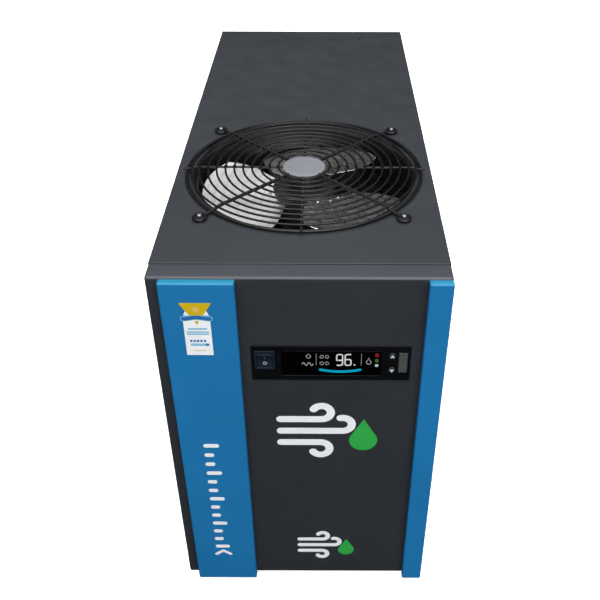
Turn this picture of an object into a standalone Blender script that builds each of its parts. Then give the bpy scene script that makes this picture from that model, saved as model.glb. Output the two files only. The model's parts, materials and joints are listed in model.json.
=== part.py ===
"""Refrigerated compressed-air dryer: a tall sheet-metal cabinet with a guarded fan in its top panel.

Metres, +Z up. The front faces -Y. The origin is the middle of the footprint at floor level.
"""

import math

import bmesh
import bpy
from mathutils import Matrix, Vector

# ---------------------------------------------------------------- driving dimensions
WIDTH = 0.410  # cabinet, side to side
DEPTH = 0.993  # front face to rear edge
HEIGHT = 0.639  # cabinet, without its feet
FOOT = 0.022  # clearance under the cabinet
TRIM_PROUD = 0.011  # the blue strips stand this far in front of the front face
PORT_REACH = 0.045  # the air couplings stand this far behind the rear panel
SHEET = 0.0015  # sheet-metal thickness
GAP = 0.0004  # running gap between neighbouring pieces
SEAM = 0.0016  # visible joint between two covers
FRONT_LIP = 0.031  # depth of the front cover's folded edge
REAR_LIP = 0.020
TOP_LIP = 0.020
RETURN = 0.012  # inward fold of the side panels

FAN_BEHIND_FRONT = 0.298  # fan axis behind the front face
FAN_HOLE = 0.1785  # radius of the hole in the top panel
BLADE_TIP = 0.166
BLADE_DEPTH = 0.030  # middle of the blades below the top panel
BLADES = 3
GUARD_PITCH = 0.0140  # between guard rings
GUARD_INNER = 0.0415
GUARD_RINGS = 10
GUARD_RISE = 0.010  # cage wires above the top panel
GUARD_WIRE = 0.0022  # ring wire radius
GUARD_FIXING = 0.2113  # radius of the circle of guard screws

# ---------------------------------------------------------------- derived places
HALF = WIDTH / 2
FRONT = TRIM_PROUD - (TRIM_PROUD + DEPTH + PORT_REACH) / 2
REAR = FRONT + DEPTH
TOP = FOOT + HEIGHT
COVER_BACK = FRONT + FRONT_LIP  # rear edge of the front cover
SIDE_FRONT = COVER_BACK + SEAM
SIDE_REAR = REAR - REAR_LIP - SEAM
SIDE_TOP = TOP - TOP_LIP - SEAM
DECK = FOOT + 2 * SHEET + GAP  # upper side of the base pan's floor
FAN_Y = FRONT + FAN_BEHIND_FRONT
DIVIDER_Y = FAN_Y + 0.235  # sheet between the fan chamber and the air side

# ---------------------------------------------------------------- control panel
BEZEL_WIDTH, BEZEL_HEIGHT = 0.226, 0.063
BEZEL_X, BEZEL_Z = 0.043, TOP - 0.1475
BEZEL_PROUD = 0.0012
BEZEL_BACK = FRONT + 0.011
SWITCH_X, SWITCH_Z = -0.051, TOP - 0.1415
SWITCH_WIDTH, SWITCH_HEIGHT = 0.0285, 0.033
SWITCH_WALL = 0.003
ROCKER_TILT = math.radians(9)
SCREEN_LEFT, SCREEN_RIGHT = -0.027, 0.115
SCREEN_TOP, SCREEN_BOTTOM = TOP - 0.1256, TOP - 0.1700
BUTTON_X = 0.130
BUTTONS = (("up_button", TOP - 0.134), ("down_button", TOP - 0.160))
BUTTON_RADIUS = 0.0055
PLATE_X, PLATE_Z = 0.1455, TOP - 0.146
PLATE_WIDTH, PLATE_HEIGHT = 0.0125, 0.036

# ---------------------------------------------------------------- fan and guard
MOTOR_RADIUS = 0.050
SHROUD_INNER = BLADE_TIP + 0.005
CAGE_Z = TOP + GUARD_RISE
CAGE_RADIUS = GUARD_INNER + (GUARD_RINGS - 1) * GUARD_PITCH
RIM_RADIUS = 0.187
HEAVY_WIRE = 0.0026  # radius of the guard's arms and eyes
CROSS_ANGLES = (0, 90, 180, 270)
ARM_ANGLES = (45, 135, 225, 315)
FIRST_BLADE = 197  # degrees, middle of the blade nearest the front left

# ---------------------------------------------------------------- refrigeration circuit
COMPRESSOR_X, COMPRESSOR_Y = 0.055, FAN_Y - 0.085
COMPRESSOR_RADIUS = 0.078
COMPRESSOR_PLATE = DECK + 0.018
COMPRESSOR_LOW = COMPRESSOR_PLATE + 0.006
CONDENSER_X = -HALF + 0.060
CONDENSER_FRONT, CONDENSER_REAR = FAN_Y - 0.150, FAN_Y + 0.150
CONDENSER_LOW, CONDENSER_HIGH = DECK + 0.060, TOP - 0.150
CONDENSER_HALF = 0.022
PIPE = 0.0048
SUCTION_PIPE = 0.0063
SUCTION_X, CAPILLARY_X = -0.090, -0.075
DRIER_X, DRIER_Y = -0.020, CONDENSER_REAR + 0.036
DRIER_LOW = DECK + 0.130
DRIER_LENGTH = 0.118

# ---------------------------------------------------------------- air side
EXCHANGER_FRONT = DIVIDER_Y + 0.060
EXCHANGER_REAR = REAR - 0.135
EXCHANGER_LOW, EXCHANGER_HIGH = DECK + 0.190, TOP - 0.085
EXCHANGER_HALF = 0.120
PORT_XS = (-0.075, 0.075)
PORT_Z = TOP - 0.125
PORT_BARREL, PORT_BORE = 0.0265, 0.0195
AIR_PIPE = 0.0215
GLAND_X, GLAND_Z, GLAND_THREAD = 0.145, FOOT + 0.110, 0.0098
DRAIN_X, DRAIN_Z, DRAIN_BARREL = -0.120, FOOT + 0.085, 0.0098
SEPARATOR_X, SEPARATOR_Y = -0.120, (EXCHANGER_REAR + REAR) / 2 - 0.012
SEPARATOR_LOW = DECK + 0.205
VALVE_HALF = 0.022
VALVE_Z = SEPARATOR_LOW - 0.016 - 2 * GAP - VALVE_HALF

# ---------------------------------------------------------------- materials
FINISHES = {
    "dark_powder_coat": ((0.045, 0.049, 0.056), 0.5, 0.0),
    "blue_paint": ((0.012, 0.17, 0.42), 0.3, 0.0),
    "black_plastic": ((0.011, 0.011, 0.012), 0.45, 0.0),
    "screen_gloss": ((0.002, 0.002, 0.003), 0.06, 0.0),
    "key_grey": ((0.35, 0.36, 0.37), 0.5, 0.0),
    "label_grey": ((0.08, 0.085, 0.08), 0.5, 0.0),
    "guard_black": ((0.012, 0.012, 0.013), 0.35, 0.0),
    "bright_steel": ((0.62, 0.62, 0.63), 0.25, 1.0),
    "galvanised_steel": ((0.45, 0.47, 0.49), 0.4, 1.0),
    "fan_aluminium": ((0.75, 0.75, 0.75), 0.22, 1.0),
    "motor_grey": ((0.26, 0.29, 0.32), 0.4, 0.0),
    "fin_aluminium": ((0.6, 0.61, 0.62), 0.35, 1.0),
    "compressor_black": ((0.01, 0.01, 0.01), 0.3, 0.0),
    "copper": ((0.72, 0.3, 0.15), 0.25, 1.0),
    "brass": ((0.66, 0.47, 0.2), 0.3, 1.0),
    "foam_black": ((0.015, 0.015, 0.015), 0.95, 0.0),
    "rubber": ((0.014, 0.014, 0.014), 0.85, 0.0),
    "board_green": ((0.01, 0.12, 0.05), 0.4, 0.0),
    "red_plastic": ((0.5, 0.015, 0.012), 0.4, 0.0),
}

PARTS = bpy.data.collections.new("refrigerated_air_dryer")
CUTTERS = bpy.data.collections.new("cutters")


def clear_scene():
    for obj in list(bpy.data.objects):
        bpy.data.objects.remove(obj, do_unlink=True)
    bpy.context.scene.collection.children.link(PARTS)
    bpy.context.scene.collection.children.link(CUTTERS)


def material(finish):
    if finish in bpy.data.materials:
        return bpy.data.materials[finish]
    colour, roughness, metallic = FINISHES[finish]
    made = bpy.data.materials.new(finish)
    made.use_nodes = True
    shader = made.node_tree.nodes["Principled BSDF"]
    shader.inputs["Base Color"].default_value = (*colour, 1.0)
    shader.inputs["Roughness"].default_value = roughness
    shader.inputs["Metallic"].default_value = metallic
    return made


# ---------------------------------------------------------------- modelling tools
def part(name, data, finish, place=(0, 0, 0), turn=(0, 0, 0)):
    """A named piece of the object."""
    obj = bpy.data.objects.new(name, data)
    obj.location = place
    obj.rotation_euler = turn
    data.materials.append(material(finish))
    PARTS.objects.link(obj)
    return obj


def cutter(name, data, place=(0, 0, 0), turn=(0, 0, 0)):
    obj = bpy.data.objects.new(name, data)
    obj.location = place
    obj.rotation_euler = turn
    obj.hide_render = True
    obj.display_type = "WIRE"
    CUTTERS.objects.link(obj)
    return obj


def boolean(obj, other, operation="DIFFERENCE"):
    modifier = obj.modifiers.new(other.name, "BOOLEAN")
    modifier.operation = operation
    modifier.solver = "EXACT"
    modifier.object = other


def cuboid(low, high):
    """A closed box mesh between two corners."""
    low, high = Vector(low), Vector(high)
    shape = bmesh.new()
    bmesh.ops.create_cube(shape, size=1.0)
    size = Matrix.Diagonal((*(high - low), 1.0))
    bmesh.ops.transform(shape, matrix=Matrix.Translation((low + high) / 2) @ size, verts=shape.verts)
    return finish_mesh("cuboid", shape)


def cylinder(radius, length, steps=32, top_radius=None):
    """A closed cylinder along Z, standing on its own origin."""
    shape = bmesh.new()
    bmesh.ops.create_cone(
        shape,
        cap_ends=True,
        segments=steps,
        radius1=radius,
        radius2=radius if top_radius is None else top_radius,
        depth=length,
    )
    bmesh.ops.translate(shape, vec=(0, 0, length / 2), verts=shape.verts)
    return finish_mesh("cylinder", shape)


def round_edges(obj, width, segments):
    bevel = obj.modifiers.new("round", "BEVEL")
    bevel.width = width
    bevel.segments = segments


def finish_mesh(name, shape):
    mesh = bpy.data.meshes.new(name)
    shape.to_mesh(mesh)
    shape.free()
    return mesh


def tray(name, low, high, open_side, finish, thickness=SHEET, rounding=0.0):
    """A folded sheet-metal pan: a box without the face on open_side, given the sheet's thickness inwards."""
    mesh = cuboid(low, high)
    shape = bmesh.new()
    shape.from_mesh(mesh)
    shape.faces.ensure_lookup_table()
    away = Vector(open_side)
    lid = max(shape.faces, key=lambda face: face.normal.dot(away))
    bmesh.ops.delete(shape, geom=[lid], context="FACES_ONLY")
    if rounding:
        folds = [edge for edge in shape.edges if len(edge.link_faces) == 2]
        bmesh.ops.bevel(
            shape, geom=folds, offset=rounding, segments=2, profile=0.5, affect="EDGES"
        )
    shape.to_mesh(mesh)
    shape.free()
    obj = part(name, mesh, finish)
    solidify = obj.modifiers.new("sheet", "SOLIDIFY")
    solidify.thickness = thickness
    solidify.offset = -1.0
    solidify.use_even_offset = True
    return obj


def turned(name, profile, finish, place=(0, 0, 0), turn=(0, 0, 0), steps=32):
    """A body of revolution about Z. profile is (radius, height) pairs, down the outer side from the top."""
    shape = bmesh.new()
    points = [shape.verts.new((radius, 0, height)) for radius, height in profile]
    closed = profile[0][0] > 0
    pairs = list(zip(points, points[1:] + points[:1] if closed else points[1:]))
    for first, second in pairs:
        shape.edges.new((first, second))
    obj = part(name, finish_mesh(name, shape), finish, place, turn)
    screw = obj.modifiers.new("turn", "SCREW")
    screw.steps = steps
    screw.render_steps = steps
    screw.use_merge_vertices = True
    screw.merge_threshold = 0.00001
    screw.use_normal_calculate = False
    return obj


def bevelled_line(name, route, radius, resolution):
    """A straight-segment curve with a round section and capped ends."""
    curve = bpy.data.curves.new(name, "CURVE")
    curve.dimensions = "3D"
    spline = curve.splines.new("POLY")
    spline.points.add(len(route) - 1)
    for point, place in zip(spline.points, route):
        point.co = (*place, 1.0)
    curve.bevel_depth = radius
    curve.bevel_resolution = resolution
    curve.use_fill_caps = True
    return curve


def tube(name, points, radius, finish, sides=1):
    """A round bar or pipe through the points, with its corners eased into bends."""
    return part(name, bevelled_line(name, eased(points, 3.0 * radius), radius, sides), finish)


def eased(points, reach, steps=3):
    """The same route with each corner swapped for a short curve that starts and ends reach from it."""
    points = [Vector(point) for point in points]
    route = [points[0]]
    for before, corner, after in zip(points, points[1:], points[2:]):
        start = corner + (before - corner).normalized() * min(reach, (before - corner).length * 0.45)
        end = corner + (after - corner).normalized() * min(reach, (after - corner).length * 0.45)
        for step in range(steps + 1):
            t = step / steps
            route.append(start * (1 - t) ** 2 + corner * 2 * t * (1 - t) + end * t**2)
    route.append(points[-1])
    return route


def rounded_outline(width, height, radius, steps=4):
    """A rectangle with round corners about the origin, as (x, y) pairs, counter-clockwise."""
    corners = ((1, 1, 0), (-1, 1, 90), (-1, -1, 180), (1, -1, 270))
    outline = []
    for side_x, side_y, start in corners:
        centre_x = side_x * (width / 2 - radius)
        centre_y = side_y * (height / 2 - radius)
        for step in range(steps + 1):
            angle = math.radians(start + 90 * step / steps)
            outline.append((centre_x + radius * math.cos(angle), centre_y + radius * math.sin(angle)))
    return outline


def prism(outline, length):
    """A closed prism on an (x, y) outline, from z = 0 up to length."""
    shape = bmesh.new()
    face = shape.faces.new([shape.verts.new((x, y, 0)) for x, y in outline])
    made = bmesh.ops.extrude_face_region(shape, geom=[face])
    top = [item for item in made["geom"] if isinstance(item, bmesh.types.BMVert)]
    bmesh.ops.translate(shape, vec=(0, 0, length), verts=top)
    bmesh.ops.recalc_face_normals(shape, faces=shape.faces)
    return finish_mesh("prism", shape)


FACE_FRONT = (math.radians(90), 0, 0)  # turns a prism's +Z to -Y, its outline's +Y to +Z
FACE_REAR = (math.radians(-90), 0, 0)  # turns +Z to +Y


# ---------------------------------------------------------------- cabinet
def make_feet():
    inset_x, inset_front, inset_rear = 0.055, 0.085, 0.070
    height = FOOT + SHEET
    profile = (
        (0.0, height),
        (0.014, height),
        (0.014, height - 0.004),
        (0.0165, height - 0.006),
        (0.021, 0.003),
        (0.020, 0.0),
        (0.008, 0.0),
        (0.008, 0.009),
        (0.0, 0.009),
    )
    for end, y in (("front", FRONT + inset_front), ("rear", REAR - inset_rear)):
        for side, x in (("left", -HALF + inset_x), ("right", HALF - inset_x)):
            turned(f"foot_{end}_{side}", profile, "rubber", (x, y, 0), steps=16)


def make_base_pan():
    inset = 0.0045
    half = HALF - RETURN - 0.001
    low = (-half, FRONT + inset, DECK - SHEET)
    high = (half, REAR - inset, DECK + 0.028)
    tray("base_pan", low, high, (0, 0, 1), "galvanised_steel")


def make_front_panel():
    low = (-HALF, FRONT, FOOT)
    high = (HALF, COVER_BACK, TOP)
    panel = tray("front_panel", low, high, (0, 1, 0), "dark_powder_coat", rounding=0.003)
    hole = prism(rounded_outline(BEZEL_WIDTH + 2 * GAP, BEZEL_HEIGHT + 2 * GAP, 0.003), 0.02)
    boolean(panel, cutter("cut_bezel", hole, (BEZEL_X, FRONT + 0.01, BEZEL_Z), FACE_FRONT))


def make_trim_strips():
    """Two blue shells on the front face. The right one is flush with the cabinet's side."""
    top = TOP - 0.0029
    bottom = FOOT - 0.0037
    for name, left, right in (("left_trim_strip", -0.187, -0.085), ("right_trim_strip", 0.172, HALF)):
        low = (left, FRONT - TRIM_PROUD, bottom)
        high = (right, FRONT - GAP, top)
        tray(name, low, high, (0, 1, 0), "blue_paint", thickness=0.002, rounding=0.0028)


def make_side_panels():
    """Side panels with two columns of air slots beside the condenser."""
    slot_length, slot_height, slot_pitch, slots = 0.125, 0.009, 0.036, 9
    lowest = FOOT + 0.120
    for side, name in ((-1, "left_side_panel"), (1, "right_side_panel")):
        inner, outer = side * (HALF - RETURN), side * HALF
        low = (min(inner, outer), SIDE_FRONT, FOOT)
        high = (max(inner, outer), SIDE_REAR, SIDE_TOP)
        panel = tray(name, low, high, (-side, 0, 0), "dark_powder_coat", rounding=0.002)
        for column in range(2):
            middle = FAN_Y + (column - 0.5) * (slot_length + 0.025)
            for row in range(slots):
                z = lowest + row * slot_pitch
                cut_low = (side * HALF - 0.004, middle - slot_length / 2, z)
                cut_high = (side * HALF + 0.004, middle + slot_length / 2, z + slot_height)
                cut = cutter(f"{name}_slot_{column}_{row}", cuboid(cut_low, cut_high))
                boolean(panel, cut)


def make_rear_panel():
    low = (-HALF, REAR - REAR_LIP, FOOT)
    high = (HALF, REAR, SIDE_TOP)
    panel = tray("rear_panel", low, high, (0, -1, 0), "dark_powder_coat", rounding=0.002)
    holes = (
        ("inlet", PORT_XS[0], PORT_Z, PORT_BARREL + 0.001),
        ("outlet", PORT_XS[1], PORT_Z, PORT_BARREL + 0.001),
        ("gland", GLAND_X, GLAND_Z, GLAND_THREAD + 0.0006),
        ("drain", DRAIN_X, DRAIN_Z, DRAIN_BARREL + 0.0006),
    )
    for name, x, z, radius in holes:
        hole = cutter(f"cut_rear_{name}", cylinder(radius, 0.02, 20), (x, REAR - 0.01, z), FACE_REAR)
        boolean(panel, hole)


def make_top_panel():
    low = (-HALF, SIDE_FRONT, TOP - TOP_LIP)
    high = (HALF, REAR, TOP)
    panel = tray("top_panel", low, high, (0, 0, -1), "dark_powder_coat", rounding=0.002)
    boolean(panel, cutter("cut_fan_hole", cylinder(FAN_HOLE, 0.02, 40), (0, FAN_Y, TOP - 0.01)))
    for angle in ARM_ANGLES:
        x, y = polar(GUARD_FIXING, angle)
        boolean(panel, cutter(f"cut_screw_{angle}", cylinder(0.0030, 0.02, 8), (x, y, TOP - 0.01)))


def make_divider_panel():
    """Flanged sheet between the fan chamber and the air side, with a passage for the pipes."""
    half = HALF - RETURN - 0.0035
    low = (-half, DIVIDER_Y - 0.012, DECK + GAP)
    high = (half, DIVIDER_Y, SIDE_TOP - 0.004)
    panel = tray("divider_panel", low, high, (0, -1, 0), "galvanised_steel")
    passage = cuboid((-0.115, DIVIDER_Y - 0.02, 0.30), (-0.055, DIVIDER_Y + 0.02, 0.44))
    boolean(panel, cutter("cut_pipe_passage", passage))


# ---------------------------------------------------------------- controls
def make_bezel():
    outline = rounded_outline(BEZEL_WIDTH, BEZEL_HEIGHT, 0.0025)
    thickness = BEZEL_BACK - FRONT + BEZEL_PROUD
    place = (BEZEL_X, BEZEL_BACK, BEZEL_Z)
    bezel = part("control_bezel", prism(outline, thickness), "black_plastic", place, FACE_FRONT)
    screen_low = (SCREEN_LEFT - GAP, FRONT - 0.01, SCREEN_BOTTOM - GAP)
    screen_high = (SCREEN_RIGHT + GAP, FRONT + 0.0026, SCREEN_TOP + GAP)
    boolean(bezel, cutter("cut_screen", cuboid(screen_low, screen_high)))
    plate_low = (PLATE_X - PLATE_WIDTH / 2 - GAP, FRONT - 0.01, PLATE_Z - PLATE_HEIGHT / 2 - GAP)
    plate_high = (PLATE_X + PLATE_WIDTH / 2 + GAP, FRONT + 0.001, PLATE_Z + PLATE_HEIGHT / 2 + GAP)
    boolean(bezel, cutter("cut_plate", cuboid(plate_low, plate_high)))
    switch_low = (SWITCH_X - SWITCH_WIDTH / 2 - GAP, FRONT - 0.01, SWITCH_Z - SWITCH_HEIGHT / 2 - GAP)
    switch_high = (SWITCH_X + SWITCH_WIDTH / 2 + GAP, BEZEL_BACK + 0.01, SWITCH_Z + SWITCH_HEIGHT / 2 + GAP)
    boolean(bezel, cutter("cut_switch", cuboid(switch_low, switch_high)))
    for name, z in BUTTONS:
        hole = cylinder(BUTTON_RADIUS + GAP, 0.03, 16)
        boolean(bezel, cutter(f"cut_{name}", hole, (BUTTON_X, FRONT + 0.02, z), FACE_FRONT))


def make_screen():
    low = (SCREEN_LEFT, FRONT - 0.0006, SCREEN_BOTTOM)
    high = (SCREEN_RIGHT, FRONT + 0.0022, SCREEN_TOP)
    part("display_window", cuboid(low, high), "screen_gloss")
    board_low = (SCREEN_LEFT - 0.004, BEZEL_BACK + 0.006, SCREEN_BOTTOM - 0.004)
    board_high = (BUTTON_X + 0.018, BEZEL_BACK + 0.0076, SCREEN_TOP + 0.004)
    part("control_board", cuboid(board_low, board_high), "board_green")


def make_buttons():
    """Round keys that travel inwards towards the control board."""
    length = 0.007
    cap = FRONT - BEZEL_PROUD - 0.0008
    profile = (
        (0.0, 0.0),
        (BUTTON_RADIUS - 0.001, -0.0002),
        (BUTTON_RADIUS, -0.0012),
        (BUTTON_RADIUS, -length),
        (0.0, -length),
    )
    for name, z in BUTTONS:
        turned(name, profile, "key_grey", (BUTTON_X, cap, z), FACE_FRONT, steps=16)


def make_side_plate():
    low = (PLATE_X - PLATE_WIDTH / 2, FRONT - BEZEL_PROUD - 0.0002, PLATE_Z - PLATE_HEIGHT / 2)
    high = (PLATE_X + PLATE_WIDTH / 2, FRONT + 0.0006, PLATE_Z + PLATE_HEIGHT / 2)
    part("service_port_cover", cuboid(low, high), "label_grey")


def make_power_switch():
    """Rocker switch: a snap-in frame and a paddle that tips about a horizontal line through its middle."""
    depth = 0.022
    face = FRONT - BEZEL_PROUD - 0.0014
    body = prism(rounded_outline(SWITCH_WIDTH, SWITCH_HEIGHT, 0.0015, steps=2), depth)
    frame = part("switch_frame", body, "black_plastic", (SWITCH_X, face + depth, SWITCH_Z), FACE_FRONT)
    well_width, well_height = SWITCH_WIDTH - 2 * SWITCH_WALL, SWITCH_HEIGHT - 2 * SWITCH_WALL
    well = prism(rounded_outline(well_width, well_height, 0.001, steps=2), depth)
    boolean(frame, cutter("cut_switch_well", well, (SWITCH_X, FRONT + 0.0125, SWITCH_Z), FACE_FRONT))
    paddle_width = well_width - 2 * GAP
    mesh = prism(paddle_outline(well_height / 2 - 0.00125), paddle_width)
    # The prism's length becomes X, its outline's x becomes Z and its y becomes -Y.
    turn = Matrix(((0, 0, 1, 0), (0, -1, 0, 0), (1, 0, 0, 0), (0, 0, 0, 1)))
    mesh.transform(turn @ Matrix.Translation((0, 0, -paddle_width / 2)))
    place = (SWITCH_X, FRONT + 0.0005, SWITCH_Z)
    part("rocker_paddle", mesh, "black_plastic", place, (ROCKER_TILT, 0, 0))


def paddle_outline(half):
    """Side view of the rocker: two horns with a shallow valley between them, and a narrower back."""
    valley, horn, back = 0.0012, 0.0030, -0.0060
    return (
        (-half, back + 0.002),
        (-0.6 * half, back),
        (0.6 * half, back),
        (half, back + 0.002),
        (half, horn),
        (half - 0.001, horn + 0.0004),
        (0.0, valley),
        (-half + 0.001, horn + 0.0004),
        (-half, horn),
    )


# ---------------------------------------------------------------- fan and guard
def polar(radius, angle):
    turn = math.radians(angle)
    return radius * math.cos(turn), FAN_Y + radius * math.sin(turn)


def make_shroud():
    """Bell-mouth ring under the top panel, round the blade tips."""
    top = TOP - SHEET - GAP
    wall = 0.0016
    inner = SHROUD_INNER
    profile = (
        (0.190, top),
        (0.190, top - wall),
        (inner + wall + 0.003, top - wall),
        (inner + wall, top - wall - 0.004),
        (inner + wall, top - 0.062),
        (inner, top - 0.062),
        (inner, top - 0.005),
        (inner + 0.006, top),
    )
    turned("fan_shroud", profile, "guard_black", (0, FAN_Y, 0), steps=40)


def make_motor():
    """The motor's fixed core and flange, which hang from the guard's centre plate into the blades' cup."""
    flange_top = CAGE_Z - 0.0042
    profile = (
        (0.0, flange_top),
        (0.033, flange_top),
        (0.033, flange_top - 0.004),
        (0.024, flange_top - 0.006),
        (0.024, TOP - 0.020),
        (0.0, TOP - 0.020),
    )
    turned("fan_motor_stator", profile, "motor_grey", (0, FAN_Y, 0), steps=24)


def blade_mesh():
    """One broad rounded paddle about the fan axis, pitched and cambered, as a closed thin solid."""
    across = 8
    radii = (MOTOR_RADIUS - 0.003, 0.062, 0.078, 0.098, 0.120, 0.140, 0.155, BLADE_TIP)
    shape = bmesh.new()
    grid = []
    for radius in radii:
        t = (radius - MOTOR_RADIUS) / (BLADE_TIP - MOTOR_RADIUS)
        spread = 38 + 12 * math.sin(min(1.0, 2 * max(t, 0.0)) * math.pi / 2) - 8 * t * t
        row = []
        for j in range(across + 1):
            s = 2 * j / across - 1
            corner = 0.022 if s < 0 else 0.012
            reach = radius - corner * max(t, 0.0) ** 5 * abs(s) ** 3
            angle = math.radians(spread * s)
            rise = -s * (0.009 + 0.007 * max(t, 0.0)) - 0.004 * (1 - s * s) * t
            row.append(shape.verts.new((reach * math.cos(angle), reach * math.sin(angle), rise)))
        grid.append(row)
    for low_row, high_row in zip(grid, grid[1:]):
        for j in range(across):
            shape.faces.new((low_row[j], high_row[j], high_row[j + 1], low_row[j + 1]))
    bmesh.ops.recalc_face_normals(shape, faces=shape.faces)
    bmesh.ops.solidify(shape, geom=list(shape.faces), thickness=0.0016)
    bmesh.ops.recalc_face_normals(shape, faces=shape.faces)
    return finish_mesh("blade", shape)


def make_impeller():
    """Three blades on a cup that turns about the motor's fixed core."""
    cup_top = TOP - 0.021
    cup_low = TOP - 0.078
    profile = (
        (0.0, cup_top - 0.001),
        (MOTOR_RADIUS - 0.004, cup_top - 0.001),
        (MOTOR_RADIUS, cup_top - 0.005),
        (MOTOR_RADIUS, cup_low + 0.004),
        (MOTOR_RADIUS - 0.004, cup_low),
        (0.0, cup_low),
    )
    impeller = turned("fan_impeller", profile, "fan_aluminium", (0, FAN_Y, 0), steps=24)
    mesh = blade_mesh()
    for blade in range(BLADES):
        turn = math.radians(FIRST_BLADE + blade * 360 / BLADES)
        other = cutter(f"blade_{blade}", mesh, (0, FAN_Y, TOP - BLADE_DEPTH), (0, 0, turn))
        boolean(impeller, other, "UNION")


def torus(radius, wire, steps, sides):
    bpy.ops.mesh.primitive_torus_add(
        major_radius=radius, minor_radius=wire, major_segments=steps, minor_segments=sides
    )
    made = bpy.context.object
    mesh = made.data
    bpy.data.objects.remove(made)
    return mesh


def make_guard_cage():
    """Concentric rings on eight spokes round a centre plate."""
    plate = turned(
        "fan_guard_cage",
        ((0.0, CAGE_Z + 0.0012), (0.034, CAGE_Z + 0.0012), (0.0345, CAGE_Z - 0.0012), (0.0, CAGE_Z - 0.0012)),
        "guard_black",
        (0, FAN_Y, 0),
        steps=32,
    )
    for ring in range(GUARD_RINGS):
        radius = GUARD_INNER + ring * GUARD_PITCH
        wire = torus(radius, GUARD_WIRE, 16 + 2 * ring, 3)
        boolean(plate, cutter(f"guard_ring_{ring}", wire, (0, FAN_Y, CAGE_Z + 0.0015)), "UNION")
    for angle in CROSS_ANGLES + ARM_ANGLES:
        half = 0.0018 if angle in CROSS_ANGLES else HEAVY_WIRE
        bar = cuboid((0.030, -half, -half - 0.0014), (CAGE_RADIUS + 0.001, half, half - 0.0014))
        turn = (0, 0, math.radians(angle))
        boolean(plate, cutter(f"guard_spoke_{angle}", bar, (0, FAN_Y, CAGE_Z + 0.0002), turn), "UNION")


def make_guard_frame():
    """Outer ring close to the panel, with four arms that run on from the cage's spokes out to eyes."""
    wire = 0.0030
    rim = torus(RIM_RADIUS, wire, 40, 4)
    frame = part("fan_guard_frame", rim, "guard_black", (0, FAN_Y, TOP + wire + GAP))
    cage_end = CAGE_RADIUS + GUARD_WIRE + 0.001
    for angle in ARM_ANGLES:
        name = f"guard_arm_{angle}"
        route = (
            (cage_end + 0.0015, 0, GUARD_RISE - 0.0014),
            (RIM_RADIUS - 0.007, 0, GUARD_RISE - 0.0020),
            (RIM_RADIUS + 0.003, 0, 0.0050),
            (GUARD_FIXING - 0.008, 0, 0.0030),
        )
        arm = tube(name, route, HEAVY_WIRE, "guard_black", sides=0)
        place = Matrix.Translation((0, FAN_Y, TOP)) @ Matrix.Rotation(math.radians(angle), 4, "Z")
        boolean(frame, solid_from_curve(arm, place), "UNION")
        x, y = polar(GUARD_FIXING, angle)
        eye = torus(0.0085, HEAVY_WIRE, 12, 4)
        boolean(frame, cutter(f"guard_eye_{angle}", eye, (x, y, TOP + HEAVY_WIRE + GAP)), "UNION")


def solid_from_curve(curve_object, place):
    """Turns a bevelled curve into a closed mesh cutter at the given place."""
    bpy.context.view_layer.update()
    graph = bpy.context.evaluated_depsgraph_get()
    mesh = bpy.data.meshes.new_from_object(curve_object.evaluated_get(graph))
    name = curve_object.name
    bpy.data.objects.remove(curve_object)
    shape = bmesh.new()
    shape.from_mesh(mesh)
    bmesh.ops.remove_doubles(shape, verts=shape.verts, dist=0.00001)
    bmesh.ops.recalc_face_normals(shape, faces=shape.faces)
    shape.to_mesh(mesh)
    shape.free()
    obj = cutter(name, mesh)
    obj.matrix_world = place
    return obj


def make_guard_screws():
    """Pan-head screws with a washer each, through the guard's eyes into the top panel."""
    under = TOP + 2 * HEAVY_WIRE + 2 * GAP
    profile = (
        (0.0, under + 0.0046),
        (0.0022, under + 0.0044),
        (0.0042, under + 0.0034),
        (0.0050, under + 0.0012),
        (0.0100, under + 0.0012),
        (0.0100, under),
        (0.0025, under),
        (0.0025, TOP - 0.010),
        (0.0, TOP - 0.010),
    )
    for angle in ARM_ANGLES:
        x, y = polar(GUARD_FIXING, angle)
        turned(f"guard_screw_{angle}", profile, "bright_steel", (x, y, 0), steps=12)


# ---------------------------------------------------------------- refrigeration circuit
def make_compressor():
    """Hermetic compressor: a welded shell above a base plate on rubber grommets, with its terminal cover."""
    low = COMPRESSOR_LOW
    shell = (
        (0.0, low + 0.205),
        (0.030, low + 0.202),
        (0.058, low + 0.188),
        (COMPRESSOR_RADIUS - 0.003, low + 0.165),
        (COMPRESSOR_RADIUS - 0.002, low + 0.100),
        (COMPRESSOR_RADIUS + 0.002, low + 0.098),
        (COMPRESSOR_RADIUS + 0.002, low + 0.090),
        (COMPRESSOR_RADIUS - 0.003, low + 0.088),
        (COMPRESSOR_RADIUS - 0.004, low + 0.040),
        (0.060, low + 0.012),
        (0.030, low),
        (0.0, low),
    )
    turned("compressor_shell", shell, "compressor_black", (COMPRESSOR_X, COMPRESSOR_Y, 0), steps=24)
    make_compressor_plate()
    box_low = (COMPRESSOR_X + COMPRESSOR_RADIUS + 0.003, COMPRESSOR_Y - 0.026, low + 0.112)
    box_high = (COMPRESSOR_X + COMPRESSOR_RADIUS + 0.033, COMPRESSOR_Y + 0.026, low + 0.172)
    cover = part("compressor_terminal_cover", cuboid(box_low, box_high), "black_plastic")
    round_edges(cover, 0.005, 2)


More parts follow.
